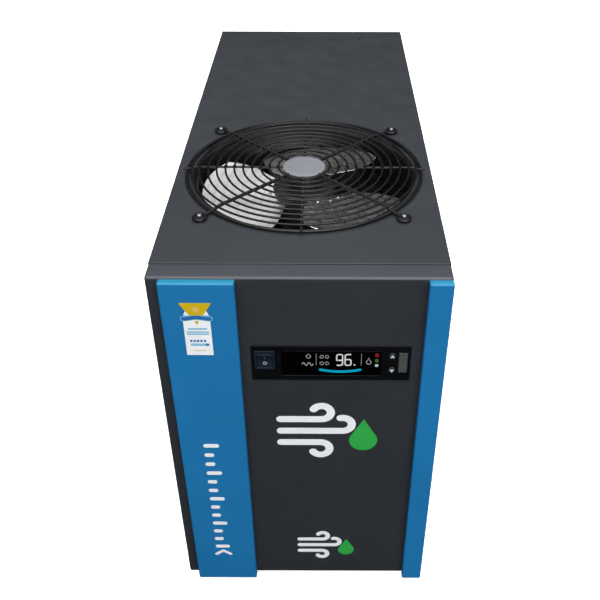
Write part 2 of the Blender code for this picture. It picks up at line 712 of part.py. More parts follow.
def make_compressor_plate():
    half_x, half_y, inset = 0.100, 0.062, 0.013
    outline = rounded_outline(2 * half_x, 2 * half_y, 0.014, steps=2)
    place = (COMPRESSOR_X, COMPRESSOR_Y, COMPRESSOR_PLATE)
    plate = part("compressor_base_plate", prism(outline, 0.003), "compressor_black", place)
    foot = DECK + GAP
    height = COMPRESSOR_PLATE + 0.007 - foot
    for side_x in (-1, 1):
        for side_y in (-1, 1):
            x = COMPRESSOR_X + side_x * (half_x - inset)
            y = COMPRESSOR_Y + side_y * (half_y - inset)
            grommet = cutter(f"grommet_{side_x}_{side_y}", cylinder(0.011, height, 10), (x, y, foot))
            boolean(plate, grommet, "UNION")


def make_condenser():
    """Upright finned coil beside the left panel, between two end plates that carry its return bends."""
    core = prism(comb_outline(), CONDENSER_HIGH - CONDENSER_LOW)
    part("condenser_core", core, "fin_aluminium", (CONDENSER_X, 0, CONDENSER_LOW))
    half = CONDENSER_HALF + 0.004
    for end, y, out in (("front", CONDENSER_FRONT, -1), ("rear", CONDENSER_REAR, 1)):
        low = (CONDENSER_X - half, y - 0.001, CONDENSER_LOW - 0.050)
        high = (CONDENSER_X + half, y + 0.001, CONDENSER_HIGH + 0.006)
        plate = part(f"condenser_end_plate_{end}", cuboid(low, high), "galvanised_steel")
        for bend in range(4):
            z = CONDENSER_LOW + 0.060 + bend * 0.090
            reach = y + out * 0.016
            rise = 0.036
            route = (
                (CONDENSER_X, y, z),
                (CONDENSER_X, reach, z),
                (CONDENSER_X, reach, z + rise),
                (CONDENSER_X, y, z + rise),
            )
            pipe = tube(f"return_bend_{end}_{bend}", route, PIPE, "copper")
            boolean(plate, solid_from_curve(pipe, Matrix.Identity(4)), "UNION")


def comb_outline():
    """Plan of the coil: fins on both sides of a spine, as (x, y) pairs."""
    fins, fin, spine = 16, 0.0024, 0.006
    first = CONDENSER_FRONT + 0.003
    pitch = (CONDENSER_REAR - CONDENSER_FRONT - 0.006 - fin) / (fins - 1)
    edge = []
    for index in range(fins):
        y = first + index * pitch
        edge += [(CONDENSER_HALF, y), (CONDENSER_HALF, y + fin)]
        if index < fins - 1:
            edge += [(spine, y + fin), (spine, y + pitch)]
    return edge + [(-x, y) for x, y in reversed(edge)]


def make_refrigerant_pipes():
    """Discharge pipe to the coil's head, suction pipe from the exchanger, liquid pipe to the filter drier."""
    inlet_z, outlet_z = CONDENSER_HIGH - 0.012, CONDENSER_LOW + 0.010
    coil_x, coil_front = CONDENSER_X + 0.008, CONDENSER_FRONT - 0.030
    stub_x, riser_x = COMPRESSOR_X - COMPRESSOR_RADIUS - 0.001, COMPRESSOR_X - COMPRESSOR_RADIUS - 0.030
    stub_y, stub_z = COMPRESSOR_Y + 0.020, COMPRESSOR_LOW + 0.120
    discharge = (
        (stub_x, stub_y, stub_z),
        (riser_x, stub_y, stub_z),
        (riser_x, stub_y, inlet_z),
        (riser_x, coil_front, inlet_z),
        (coil_x, coil_front, inlet_z),
        (coil_x, CONDENSER_FRONT - 0.002, inlet_z),
    )
    tube("discharge_pipe", discharge, PIPE, "copper")
    back = COMPRESSOR_Y + COMPRESSOR_RADIUS
    back_x, back_z, high_z = COMPRESSOR_X + 0.020, COMPRESSOR_LOW + 0.130, COMPRESSOR_LOW + 0.335
    suction = (
        (back_x, back + 0.001, back_z),
        (back_x, back + 0.045, back_z),
        (back_x, back + 0.045, high_z),
        (SUCTION_X, DIVIDER_Y - 0.045, high_z),
        (SUCTION_X, EXCHANGER_FRONT - 0.001, high_z),
    )
    tube("suction_pipe", suction, SUCTION_PIPE, "copper")
    liquid = (
        (coil_x, CONDENSER_REAR + 0.002, outlet_z),
        (coil_x, DRIER_Y, outlet_z),
        (DRIER_X, DRIER_Y, outlet_z),
        (DRIER_X, DRIER_Y, DRIER_LOW - 0.001),
    )
    tube("liquid_pipe", liquid, PIPE, "copper")


def make_filter_drier():
    profile = (
        (0.0, DRIER_LENGTH),
        (PIPE + 0.001, DRIER_LENGTH),
        (PIPE + 0.001, 0.106),
        (0.021, 0.092),
        (0.021, 0.020),
        (PIPE + 0.001, 0.006),
        (PIPE + 0.001, 0.0),
        (0.0, 0.0),
    )
    turned("filter_drier", profile, "copper", (DRIER_X, DRIER_Y, DRIER_LOW), steps=18)


def make_capillary():
    """Thin tube wound in a coil between the filter drier and the heat exchanger."""
    turns, steps = 4, 10
    radius, wire, rise = 0.024, 0.0016, 0.0052
    start = DRIER_LOW + DRIER_LENGTH + GAP
    route = [(DRIER_X, DRIER_Y, start), (DRIER_X, DRIER_Y, start + 0.020)]
    for step in range(turns * steps + 1):
        angle = 2 * math.pi * step / steps
        x = DRIER_X + radius * math.sin(angle)
        y = DRIER_Y + radius * (math.cos(angle) - 1)
        route.append((x, y, start + 0.034 + rise * step / steps))
    x, y, z = route[-1]
    lead = z + 0.012
    route.append((x - 0.030, y, lead))
    route.append((CAPILLARY_X, DIVIDER_Y - 0.020, lead))
    route.append((CAPILLARY_X, EXCHANGER_FRONT - 0.001, lead))
    part("capillary_tube", bevelled_line("capillary_tube", route, wire, 0), "copper")


# ---------------------------------------------------------------- air side
def make_heat_exchanger():
    """Foam-clad plate heat exchanger on two folded stands."""
    low = (-EXCHANGER_HALF, EXCHANGER_FRONT, EXCHANGER_LOW)
    high = (EXCHANGER_HALF, EXCHANGER_REAR, EXCHANGER_HIGH)
    body = part("heat_exchanger", cuboid(low, high), "foam_black")
    round_edges(body, 0.012, 2)
    for end, y in (("front", EXCHANGER_FRONT + 0.030), ("rear", EXCHANGER_REAR - 0.030)):
        stand_low = (-EXCHANGER_HALF, y - 0.010, DECK + GAP)
        stand_high = (EXCHANGER_HALF, y + 0.010, EXCHANGER_LOW - GAP)
        tray(f"exchanger_stand_{end}", stand_low, stand_high, (0, 0, -1), "galvanised_steel")


def make_air_ports():
    """Threaded couplings through the rear panel, each on a pipe from the heat exchanger."""
    start = REAR - 0.034
    end = REAR + PORT_REACH
    for name, x in zip(("air_inlet", "air_outlet"), PORT_XS):
        barrel = cylinder(PORT_BARREL, end - start, 24)
        coupling = part(f"{name}_coupling", barrel, "brass", (x, start, PORT_Z), FACE_REAR)
        nut = cutter(f"{name}_hexagon", cylinder(0.0375, 0.026, 6), (x, end - 0.036, PORT_Z), FACE_REAR)
        boolean(coupling, nut, "UNION")
        bore = cutter(f"{name}_bore", cylinder(PORT_BORE, 0.05, 20), (x, REAR, PORT_Z), FACE_REAR)
        boolean(coupling, bore)
        route = ((x, EXCHANGER_REAR + 0.001, PORT_Z), (x, start - GAP, PORT_Z))
        tube(f"{name}_pipe", route, AIR_PIPE, "copper", sides=4)


def make_separator():
    """Moisture separator bowl under the exchanger's outlet side, with its drain stub."""
    low = SEPARATOR_LOW
    bowl = (
        (0.0, low + 0.180),
        (0.030, low + 0.180),
        (0.036, low + 0.174),
        (0.036, low + 0.150),
        (0.031, low + 0.147),
        (0.030, low + 0.020),
        (0.016, low + 0.004),
        (0.008, low + 0.002),
        (0.008, low - 0.016),
        (0.0, low - 0.016),
    )
    turned("moisture_separator", bowl, "compressor_black", (SEPARATOR_X, SEPARATOR_Y, 0), steps=20)


def make_drain():
    """Shut-off valve with its lever, solenoid valve with its coil, then the tube to the rear outlet."""
    x, y = SEPARATOR_X, SEPARATOR_Y
    body = cylinder(0.0125, 2 * VALVE_HALF, 16)
    valve = part("drain_shutoff_valve", body, "brass", (x, y, VALVE_Z - VALVE_HALF))
    flat = 0.010
    for name, low in (("top", VALVE_HALF - flat), ("low", -VALVE_HALF)):
        boolean(valve, cutter(f"valve_hex_{name}", cylinder(0.0155, flat, 6), (x, y, VALVE_Z + low)), "UNION")
    stem_length = 0.021
    stem = cutter("valve_stem", cylinder(0.006, stem_length, 12), (x, y, VALVE_Z), FACE_REAR)
    boolean(valve, stem, "UNION")
    make_drain_lever(x, y + stem_length + GAP, VALVE_Z)
    low, high = DECK + 0.074, VALVE_Z - VALVE_HALF - GAP
    block = cuboid((x - 0.017, y - 0.017, low), (x + 0.017, y + 0.017, high))
    solenoid = part("drain_solenoid_valve", block, "brass")
    coil = cuboid((x - 0.060, y - 0.016, low + 0.006), (x - 0.010, y + 0.016, low + 0.040))
    boolean(solenoid, cutter("solenoid_coil", coil), "UNION")
    outlet = REAR - 0.030
    route = (
        (x, y, low - GAP),
        (x, y, DRAIN_Z - 0.030),
        (x, y + 0.040, DRAIN_Z),
        (x, outlet - GAP, DRAIN_Z),
    )
    tube("drain_tube", route, 0.0042, "black_plastic")
    barrel = cylinder(DRAIN_BARREL, 0.052, 20)
    fitting = part("drain_outlet", barrel, "brass", (x, outlet, DRAIN_Z), FACE_REAR)
    nut = cutter("drain_hexagon", cylinder(0.0145, 0.010, 6), (x, REAR + 0.001, DRAIN_Z), FACE_REAR)
    boolean(fitting, nut, "UNION")
    boolean(fitting, cutter("drain_bore", cylinder(0.0062, 0.030, 16), (x, REAR, DRAIN_Z), FACE_REAR))


def make_drain_lever(x, y, z):
    """Flat handle on the valve's stem, hanging in line with the flow when the valve is open."""
    thickness = 0.0025
    blade = prism(rounded_outline(0.012, 0.050, 0.0058), thickness)
    lever = part("drain_valve_lever", blade, "red_plastic", (x, y + thickness, z - 0.018), FACE_FRONT)
    boolean(lever, cutter("lever_boss", cylinder(0.0075, 0.006, 16), (x, y, z), FACE_REAR), "UNION")


def make_cable_gland():
    """Screwed gland for the mains cable, low on the rear panel."""
    x, z = GLAND_X, GLAND_Z
    body = cylinder(GLAND_THREAD, 0.036, 20)
    gland = part("power_cable_gland", body, "black_plastic", (x, REAR - 0.014, z), FACE_REAR)
    boolean(gland, cutter("gland_nut", cylinder(0.0140, 0.011, 6), (x, REAR + 0.0005, z), FACE_REAR), "UNION")
    cap = cylinder(0.0118, 0.012, 20, GLAND_THREAD)
    boolean(gland, cutter("gland_cap", cap, (x, REAR + 0.0105, z), FACE_REAR), "UNION")
    boolean(gland, cutter("gland_bore", cylinder(0.0047, 0.030, 16), (x, REAR + 0.002, z), FACE_REAR))


# ---------------------------------------------------------------- electrics
def make_electrical_box():
    """Sheet box behind the front cover, below the controls, with the contactor and run capacitor inside."""
    low = (0.010, COVER_BACK + 0.006, TOP - 0.340)
    high = (0.178, COVER_BACK + 0.062, TOP - 0.200)
    tray("electrical_box", low, high, (0, -1, 0), "galvanised_steel")
    inner = COVER_BACK + 0.060
    contactor = cuboid((0.028, inner - 0.044, TOP - 0.320), (0.078, inner - 0.001, TOP - 0.250))
    body = part("contactor", contactor, "black_plastic")
    round_edges(body, 0.002, 1)
    profile = (
        (0.0, 0.092),
        (0.017, 0.092),
        (0.019, 0.090),
        (0.019, 0.002),
        (0.017, 0.0),
        (0.0, 0.0),
    )
    turned("run_capacitor", profile, "key_grey", (0.130, inner - 0.022, TOP - 0.325), steps=24)


def smooth_round_pieces():
    """Smooth shading on the turned and piped pieces, with their edges kept."""
    for obj in PARTS.objects:
        if obj.type == "MESH" and obj.data.polygons:
            obj.data.shade_smooth()
            obj.data.set_sharp_from_angle(angle=math.radians(35))


def main():
    clear_scene()
    make_feet()
    make_base_pan()
    make_front_panel()
    make_trim_strips()
    make_side_panels()
    make_rear_panel()
    make_top_panel()
    make_divider_panel()
    make_bezel()
    make_screen()
    make_buttons()
    make_side_plate()
    make_power_switch()
    make_shroud()
    make_motor()
    make_impeller()
    make_guard_cage()
    make_guard_frame()
    make_guard_screws()
    make_compressor()
    make_condenser()
    make_refrigerant_pipes()
    make_filter_drier()
    make_capillary()
    make_heat_exchanger()
    make_air_ports()
    make_separator()
    make_drain()
    make_cable_gland()
    make_electrical_box()
    smooth_round_pieces()


main()
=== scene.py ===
"""Looks of a refrigerated air dryer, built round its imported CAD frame.

Metres, +Z up, front towards -Y. Every new piece is modelled in the frame's own coordinates.
"""

import json
import math

import bmesh
import bpy
from mathutils import Matrix, Vector


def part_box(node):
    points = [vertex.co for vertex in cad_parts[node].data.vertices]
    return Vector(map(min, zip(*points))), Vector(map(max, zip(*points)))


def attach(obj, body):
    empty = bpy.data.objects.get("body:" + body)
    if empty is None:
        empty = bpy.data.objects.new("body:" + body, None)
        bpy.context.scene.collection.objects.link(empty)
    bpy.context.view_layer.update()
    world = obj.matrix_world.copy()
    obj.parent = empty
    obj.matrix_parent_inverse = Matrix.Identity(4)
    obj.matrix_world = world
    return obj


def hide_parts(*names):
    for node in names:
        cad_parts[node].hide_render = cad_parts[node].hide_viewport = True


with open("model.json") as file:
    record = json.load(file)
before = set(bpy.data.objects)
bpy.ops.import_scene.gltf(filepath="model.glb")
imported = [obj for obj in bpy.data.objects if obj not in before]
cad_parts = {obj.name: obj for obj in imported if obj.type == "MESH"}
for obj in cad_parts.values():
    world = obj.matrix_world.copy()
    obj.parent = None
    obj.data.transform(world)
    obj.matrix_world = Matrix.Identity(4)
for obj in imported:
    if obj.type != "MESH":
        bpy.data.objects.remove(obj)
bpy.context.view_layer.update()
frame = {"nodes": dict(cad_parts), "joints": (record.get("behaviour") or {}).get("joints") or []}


# ---------------------------------------------------------------- places read from the frame
def low(node):
    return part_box(node)[0]


def high(node):
    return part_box(node)[1]


def middle(node):
    return (low(node) + high(node)) / 2


JOINTS = {joint["name"]: joint for joint in frame["joints"]}
FAN = Vector(JOINTS["fan_spin"]["pos_m"])
FAN_AXIS = (FAN.x, FAN.y, 0)
ROCKER = Vector(JOINTS["power_rocker"]["pos_m"])
HALF = high("top_panel").x
TOP = high("top_panel").z
REAR = high("top_panel").y
FRONT = low("front_panel").y
COVER_BACK = high("front_panel").y
FOOT = low("front_panel").z
SHEET = 0.0015  # sheet-metal thickness
STRIP_FACE = low("left_trim_strip").y
GLASS_FACE = low("display_window").y
CAGE_RADIUS = high("fan_guard_cage").x - 0.0022
CAGE_Z = high("fan_guard_cage").z - 0.0037
RIM_RADIUS = high("fan_guard_frame").x - 0.0030
EYE_CIRCLE = (middle("guard_screw_45") - FAN).xy.length
BLADE_TIP = 0.166
BLADE_DEPTH = 0.030  # middle of the blades below the top panel
HUB_RADIUS = 0.050
BLADES = 3
FIRST_BLADE = 197  # degrees, middle of the blade nearest the front left
ARM_ANGLES = (45, 135, 225, 315)
CROSS_ANGLES = (0, 90, 180, 270)


# ---------------------------------------------------------------- material tools
def shader_of(made):
    return made.node_tree.nodes["Principled BSDF"]


def add_node(made, kind):
    return made.node_tree.nodes.new(kind)


def link(made, output, socket):
    made.node_tree.links.new(output, socket)


def coordinates(made, stretch=(1, 1, 1)):
    """The piece's own coordinates, in metres, stretched along each axis."""
    place = add_node(made, "ShaderNodeTexCoord")
    mapping = add_node(made, "ShaderNodeMapping")
    mapping.inputs["Scale"].default_value = stretch
    link(made, place.outputs["Object"], mapping.inputs["Vector"])
    return mapping.outputs["Vector"]


def noise(made, size, detail=3.0, stretch=(1, 1, 1)):
    """Cloudy values about 0.5 whose features are about size across."""
    texture = add_node(made, "ShaderNodeTexNoise")
    texture.inputs["Scale"].default_value = 1 / size
    texture.inputs["Detail"].default_value = detail
    link(made, coordinates(made, stretch), texture.inputs["Vector"])
    return texture.outputs["Fac"]


def remap(made, value, low_out, high_out, low_in=0.35, high_in=0.65):
    node = add_node(made, "ShaderNodeMapRange")
    node.inputs["From Min"].default_value = low_in
    node.inputs["From Max"].default_value = high_in
    node.inputs["To Min"].default_value = low_out
    node.inputs["To Max"].default_value = high_out
    link(made, value, node.inputs["Value"])
    return node.outputs["Result"]


def mix(made, factor, first, second):
    """Blends two colours; each is a colour or another node's output."""
    node = add_node(made, "ShaderNodeMix")
    node.data_type = "RGBA"
    link(made, factor, node.inputs["Factor"])
    for socket, value in ((node.inputs[6], first), (node.inputs[7], second)):
        if isinstance(value, bpy.types.NodeSocket):
            link(made, value, socket)
        else:
            socket.default_value = (*value, 1.0)
    return node.outputs[2]


def shade(colour, factor):
    return tuple(min(1.0, channel * factor) for channel in colour)


def bump(made, height, strength, depth):
    """Adds a relief to the surface, on top of any that is there already."""
    shader = shader_of(made)
    node = add_node(made, "ShaderNodeBump")
    node.inputs["Strength"].default_value = strength
    node.inputs["Distance"].default_value = depth
    link(made, height, node.inputs["Height"])
    if shader.inputs["Normal"].is_linked:
        below = shader.inputs["Normal"].links[0].from_socket
        link(made, below, node.inputs["Normal"])
    link(made, node.outputs["Normal"], shader.inputs["Normal"])


def finish(
    name,
    colour,
    roughness,
    metallic=0.0,
    mottle=0.06,
    patch=0.12,
    scuff=0.05,
    grain=0.0,
    grain_size=0.001,
    specular=0.5,
):
    """A surface with uneven colour, uneven gloss and a fine grain."""
    made = bpy.data.materials.new(name)
    made.use_nodes = True
    shader = shader_of(made)
    shader.inputs["Metallic"].default_value = metallic
    shader.inputs["Specular IOR Level"].default_value = specular
    clouds = remap(made, noise(made, patch), 0.0, 1.0)
    base = mix(made, clouds, shade(colour, 1 - mottle), shade(colour, 1 + mottle))
    link(made, base, shader.inputs["Base Color"])
    wear = noise(made, patch / 5, 5.0)
    gloss = remap(made, wear, max(0.02, roughness - scuff), min(1.0, roughness + scuff))
    link(made, gloss, shader.inputs["Roughness"])
    if grain:
        bump(made, noise(made, grain_size, 2.0), grain, grain_size * 0.25)
    return made


def base_colour(made):
    return shader_of(made).inputs["Base Color"].links[0].from_socket


def recolour(made, output):
    link(made, output, shader_of(made).inputs["Base Color"])


def glowing(name, colour, strength):
    """A lit display element under glass, a little uneven as real segments are."""
    made = finish(name, shade(colour, 0.6), 0.4, patch=0.004)
    shader = shader_of(made)
    uneven = remap(made, noise(made, 0.003), 0.0, 1.0)
    glow = mix(made, uneven, shade(colour, 0.86), colour)
    link(made, glow, shader.inputs["Emission Color"])
    shader.inputs["Emission Strength"].default_value = strength
    return made


def galvanised(name):
    """Zinc spangle: flat crystals, each with its own brightness and gloss."""
    made = finish(name, (0.45, 0.47, 0.49), 0.42, 1.0, mottle=0.05)
    cells = add_node(made, "ShaderNodeTexVoronoi")
    cells.inputs["Scale"].default_value = 110.0
    link(made, coordinates(made), cells.inputs["Vector"])
    split = add_node(made, "ShaderNodeSeparateColor")
    link(made, cells.outputs["Color"], split.inputs["Color"])
    recolour(made, mix(made, split.outputs["Red"], (0.36, 0.38, 0.40), (0.56, 0.58, 0.60)))
    gloss = remap(made, split.outputs["Green"], 0.32, 0.52, 0.0, 1.0)
    link(made, gloss, shader_of(made).inputs["Roughness"])
    return made


def printed(name, colour, roughness=0.35):
    return finish(name, colour, roughness, mottle=0.03, patch=0.03, scuff=0.04)


def brushed(name, colour, roughness, stretch):
    """Rolled or turned metal with fine lines along one direction."""
    made = finish(name, colour, roughness, 1.0, mottle=0.04, patch=0.05)
    bump(made, noise(made, 0.0006, 2.0, stretch), 0.12, 0.00008)
    return made


def tarnished(name, colour, dark, roughness):
    """Copper or brass with darker, duller patches."""
    made = finish(name, colour, roughness, 1.0, mottle=0.1, patch=0.03, scuff=0.1)
    patches = remap(made, noise(made, 0.02, 6.0), 0.0, 0.75, 0.48, 0.66)
    recolour(made, mix(made, patches, base_colour(made), dark))
    return made


def circuit_board(name):
    made = finish(name, (0.008, 0.10, 0.045), 0.35, patch=0.02)
    tracks = add_node(made, "ShaderNodeTexBrick")
    tracks.inputs["Scale"].default_value = 160.0
    tracks.inputs["Mortar Size"].default_value = 0.03
    tracks.inputs["Color1"].default_value = (0, 0, 0, 1)
    tracks.inputs["Color2"].default_value = (0, 0, 0, 1)
    tracks.inputs["Mortar"].default_value = (1, 1, 1, 1)
    link(made, coordinates(made), tracks.inputs["Vector"])
    recolour(made, mix(made, tracks.outputs["Color"], base_colour(made), (0.35, 0.30, 0.12)))
    return made


def powder_coat(name, colour, roughness, painted_highlight_colour=None, specular=0.5):
    """Sprayed and baked paint: soft orange peel over a finer texture, with a painted highlight where it faces
    up.
    """
    made = finish(
        name, colour, roughness, mottle=0.05, patch=0.2, grain=0.10, grain_size=0.0009, specular=specular
    )
    bump(made, noise(made, 0.006, 2.0), 0.06, 0.0008)
    # Painted highlight: upward faces are blended towards a lighter colour that stands in for the light
    # falling on them.
    if painted_highlight_colour:
        facing = add_node(made, "ShaderNodeNewGeometry")
        split = add_node(made, "ShaderNodeSeparateXYZ")
        link(made, facing.outputs["Normal"], split.inputs["Vector"])
        painted_highlight_mask = remap(made, split.outputs["Z"], 0.0, 1.0, 0.10, 0.90)
        recolour(made, mix(made, painted_highlight_mask, base_colour(made), painted_highlight_colour))
    return made


PRINT_COLOURS = {
    "white": (0.80, 0.82, 0.84),
    "green": (0.03, 0.36, 0.06),
    "gold": (0.56, 0.39, 0.010),
    "straw": (0.62, 0.46, 0.09),
    "cyan": (0.20, 0.46, 0.60),
    "dim": (0.13, 0.135, 0.14),
    "blue": (0.02, 0.13, 0.36),
    "pale": (0.42, 0.50, 0.60),
}
GLOW_COLOURS = {
    "white": ((0.70, 0.70, 0.72), 0.32),
    "dim": ((0.40, 0.39, 0.44), 0.16),
    "cyan": ((0.0, 0.30, 0.46), 0.55),
    "red": ((0.28, 0.010, 0.012), 0.28),
    "green": ((0.045, 0.13, 0.018), 0.30),
    "ice": ((0.33, 0.52, 0.54), 0.45),
}


def make_materials():
    """One material for each finish, by name."""
    made = {}

    def add(maker, name, *settings, **more):
        made[name] = maker(name, *settings, **more)

    add(powder_coat, "dark_powder_coat", (0.0232, 0.0268, 0.0312), 0.44)
    # The front cover's lip and the blue strips' tops carry a painted highlight: their upward faces are given
    # a lighter colour that stands in for light.
    add(powder_coat, "front_powder_coat", (0.0232, 0.0268, 0.0312), 0.44, (0.0384, 0.0418, 0.0508))
    add(powder_coat, "blue_paint", (0.0122, 0.157, 0.378), 0.44, (0.0180, 0.200, 0.34), 0.3)
    add(finish, "black_plastic", (0.0020, 0.0022, 0.0028), 0.45, grain=0.2, grain_size=0.0007, specular=0.2)
    add(finish, "switch_plastic", (0.0085, 0.0150, 0.0240), 0.40, grain=0.1, grain_size=0.0006, specular=0.15)
    add(finish, "screen_gloss", (0.0006, 0.0006, 0.0007), 0.06, mottle=0.1, scuff=0.02)
    add(finish, "key_grey", (0.012, 0.0125, 0.013), 0.45, grain=0.1, grain_size=0.0006, specular=0.3)
    add(finish, "label_grey", (0.048, 0.052, 0.050), 0.5, grain=0.2, grain_size=0.0006)
    add(
        finish,
        "guard_black",
        (0.0075, 0.0066, 0.0070),
        0.30,
        patch=0.03,
        grain=0.10,
        grain_size=0.002,
        specular=0.3,
    )
    add(brushed, "bright_steel", (0.50, 0.50, 0.51), 0.32, (1, 1, 1))
    add(brushed, "guard_screw_steel", (0.20, 0.20, 0.21), 0.34, (1, 1, 1))
    add(galvanised, "galvanised_steel")
    add(brushed, "fan_aluminium", (0.86, 0.86, 0.86), 0.30, (1, 6, 1))
    add(finish, "motor_grey", (0.165, 0.175, 0.190), 0.40, patch=0.05, grain=0.1)
    add(finish, "hub_black", (0.018, 0.018, 0.019), 0.4, patch=0.03, grain=0.15)
    add(brushed, "fin_aluminium", (0.62, 0.63, 0.64), 0.36, (1, 1, 8))
    add(finish, "compressor_black", (0.012, 0.012, 0.012), 0.27, patch=0.05, grain=0.15, grain_size=0.003)
    add(tarnished, "copper", (0.72, 0.30, 0.15), (0.20, 0.09, 0.06), 0.28)
    add(tarnished, "brass", (0.66, 0.47, 0.20), (0.36, 0.25, 0.11), 0.30)
    add(finish, "foam_black", (0.016, 0.016, 0.016), 0.92, patch=0.02, grain=0.8, grain_size=0.004)
    add(finish, "rubber", (0.015, 0.015, 0.015), 0.82, patch=0.02, grain=0.5, grain_size=0.0015)
    add(circuit_board, "board_green")
    add(finish, "red_plastic", (0.5, 0.015, 0.012), 0.4, grain=0.1)
    for name, colour in PRINT_COLOURS.items():
        add(printed, f"print_{name}", colour)
    for name, (colour, strength) in GLOW_COLOURS.items():
        add(glowing, f"glow_{name}", colour, strength)
    return made


MATERIALS = make_materials()


# ---------------------------------------------------------------- modelling tools
def placed(name, data):
    """A new object in the scene."""
    obj = bpy.data.objects.new(name, data)
    bpy.context.scene.collection.objects.link(obj)
    return obj


def piece(name, data, finish_name, body="cabinet", stands_for=(), sharp=35):
    """A shown piece that rides on a body, with its material, standing for any CAD nodes named."""
    obj = placed(name, data)
    data.materials.append(MATERIALS[finish_name])
    if obj.type == "MESH":
        data.shade_smooth()
        data.set_sharp_from_angle(angle=math.radians(sharp))
    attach(obj, body)
    if stands_for:
        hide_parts(*stands_for)
    return obj


def to_mesh(name, shape):
    mesh = bpy.data.meshes.new(name)
    bmesh.ops.recalc_face_normals(shape, faces=shape.faces)
    shape.to_mesh(mesh)
    shape.free()
    return mesh


def cuboid(lowest, highest):
    shape = bmesh.new()
    add_cuboid(shape, lowest, highest)
    return to_mesh("cuboid", shape)


def add_cuboid(shape, lowest, highest):
    lowest, highest = Vector(lowest), Vector(highest)
    size = Matrix.Diagonal((*(highest - lowest), 1.0))
    place = Matrix.Translation((lowest + highest) / 2)
    bmesh.ops.create_cube(shape, size=1.0, matrix=place @ size)


def rounded_outline(width, height, radius, steps=8, centre=(0, 0)):
    """A rectangle with round corners, as (x, y) pairs, counter-clockwise."""
    outline = []
    for side_x, side_y, start in ((1, 1, 0), (-1, 1, 90), (-1, -1, 180), (1, -1, 270)):
        x = centre[0] + side_x * (width / 2 - radius)
        y = centre[1] + side_y * (height / 2 - radius)
        for step in range(steps + 1):
            angle = math.radians(start + 90 * step / steps)
            outline.append((x + radius * math.cos(angle), y + radius * math.sin(angle)))
    return outline


def add_prism(shape, outline, near, far, axis="Y"):
    """A closed prism on an outline, between two depths along an axis. Two outlines make a flat ring."""
    place = {
        "X": lambda a, b, depth: (depth, a, b),
        "Y": lambda a, b, depth: (a, depth, b),
        "Z": lambda a, b, depth: (a, b, depth),
    }[axis]
    loops = outline if isinstance(outline, tuple) else (outline,)
    sides = []
    for loop in loops:
        front = [shape.verts.new(place(a, b, near)) for a, b in loop]
        back = [shape.verts.new(place(a, b, far)) for a, b in loop]
        add_band(shape, front, back)
        sides.append((front, back))
    for side in zip(*sides):
        if len(side) == 2:
            add_band(shape, *side)
        else:
            shape.faces.new(side[0])


def add_band(shape, first, second):
    """Joins two closed loops of points with quads."""
    for i in range(len(first)):
        j = (i + 1) % len(first)
        shape.faces.new((first[i], first[j], second[j], second[i]))


def prisms(outlines, near, far, axis="Y"):
    """Prisms side by side. Each starts a hair from the last, so that no two faces lie on each other."""
    shape = bmesh.new()
    for index, outline in enumerate(outlines):
        add_prism(shape, outline, near - 0.00003 * (index % 3), far, axis)
    return to_mesh("prisms", shape)


def stroke(points, width, closed=False, caps=6):
    """The outline of a flat stroke of one width: round-ended, or an outer and an inner loop when closed."""
    points = [Vector(point) for point in points]
    count = len(points)
    left, right = [], []
    for i, point in enumerate(points):
        before = points[i - 1] if closed or i else point
        after = points[(i + 1) % count] if closed or i < count - 1 else point
        along = (after - before).normalized()
        across = Vector((-along.y, along.x)) * width / 2
        left.append(point + across)
        right.append(point - across)
    if closed:
        return (left, right)
    start = [points[0] + (left[0] - points[0]) @ spin2(-180 * k / caps) for k in range(1, caps)]
    end = [points[-1] + (right[-1] - points[-1]) @ spin2(-180 * k / caps) for k in range(1, caps)]
    return left[::-1] + start + right + end


def spin2(angle):
    return Matrix.Rotation(math.radians(angle), 2)


def arc(centre, radius, start, end, steps=12):
    """Points on an arc, in degrees."""
    turns = [math.radians(start + (end - start) * step / steps) for step in range(steps + 1)]
    return [Vector((centre[0] + radius * math.cos(t), centre[1] + radius * math.sin(t))) for t in turns]


def eased(points, reach, steps=6, closed=False):
    """The same route with each corner swapped for a short curve that starts and ends reach from it."""
    points = [Vector(point) for point in points]
    triples = list(zip(points, points[1:], points[2:]))
    if closed:
        triples = list(zip(points[-1:] + points[:-1], points, points[1:] + points[:1]))
    route = [] if closed else [points[0]]
    for before, corner, after in triples:
        start = corner + (before - corner).normalized() * min(reach, (before - corner).length * 0.45)
        end = corner + (after - corner).normalized() * min(reach, (after - corner).length * 0.45)
        for step in range(steps + 1):
            t = step / steps
            route.append(start * (1 - t) ** 2 + corner * 2 * t * (1 - t) + end * t**2)
    return route if closed else route + [points[-1]]


def wires(name, routes, radius, closed=False, sides=4):
    """Round wires through lists of points, all in one curve."""
    curve = bpy.data.curves.new(name, "CURVE")
    curve.dimensions = "3D"
    curve.bevel_depth = radius
    curve.bevel_resolution = sides
    curve.use_fill_caps = True
    for route in routes:
        spline = curve.splines.new("POLY")
        spline.points.add(len(route) - 1)
        for point, place in zip(spline.points, route):
            point.co = (*place, 1.0)
        spline.use_cyclic_u = closed
        spline.use_smooth = True
    return curve


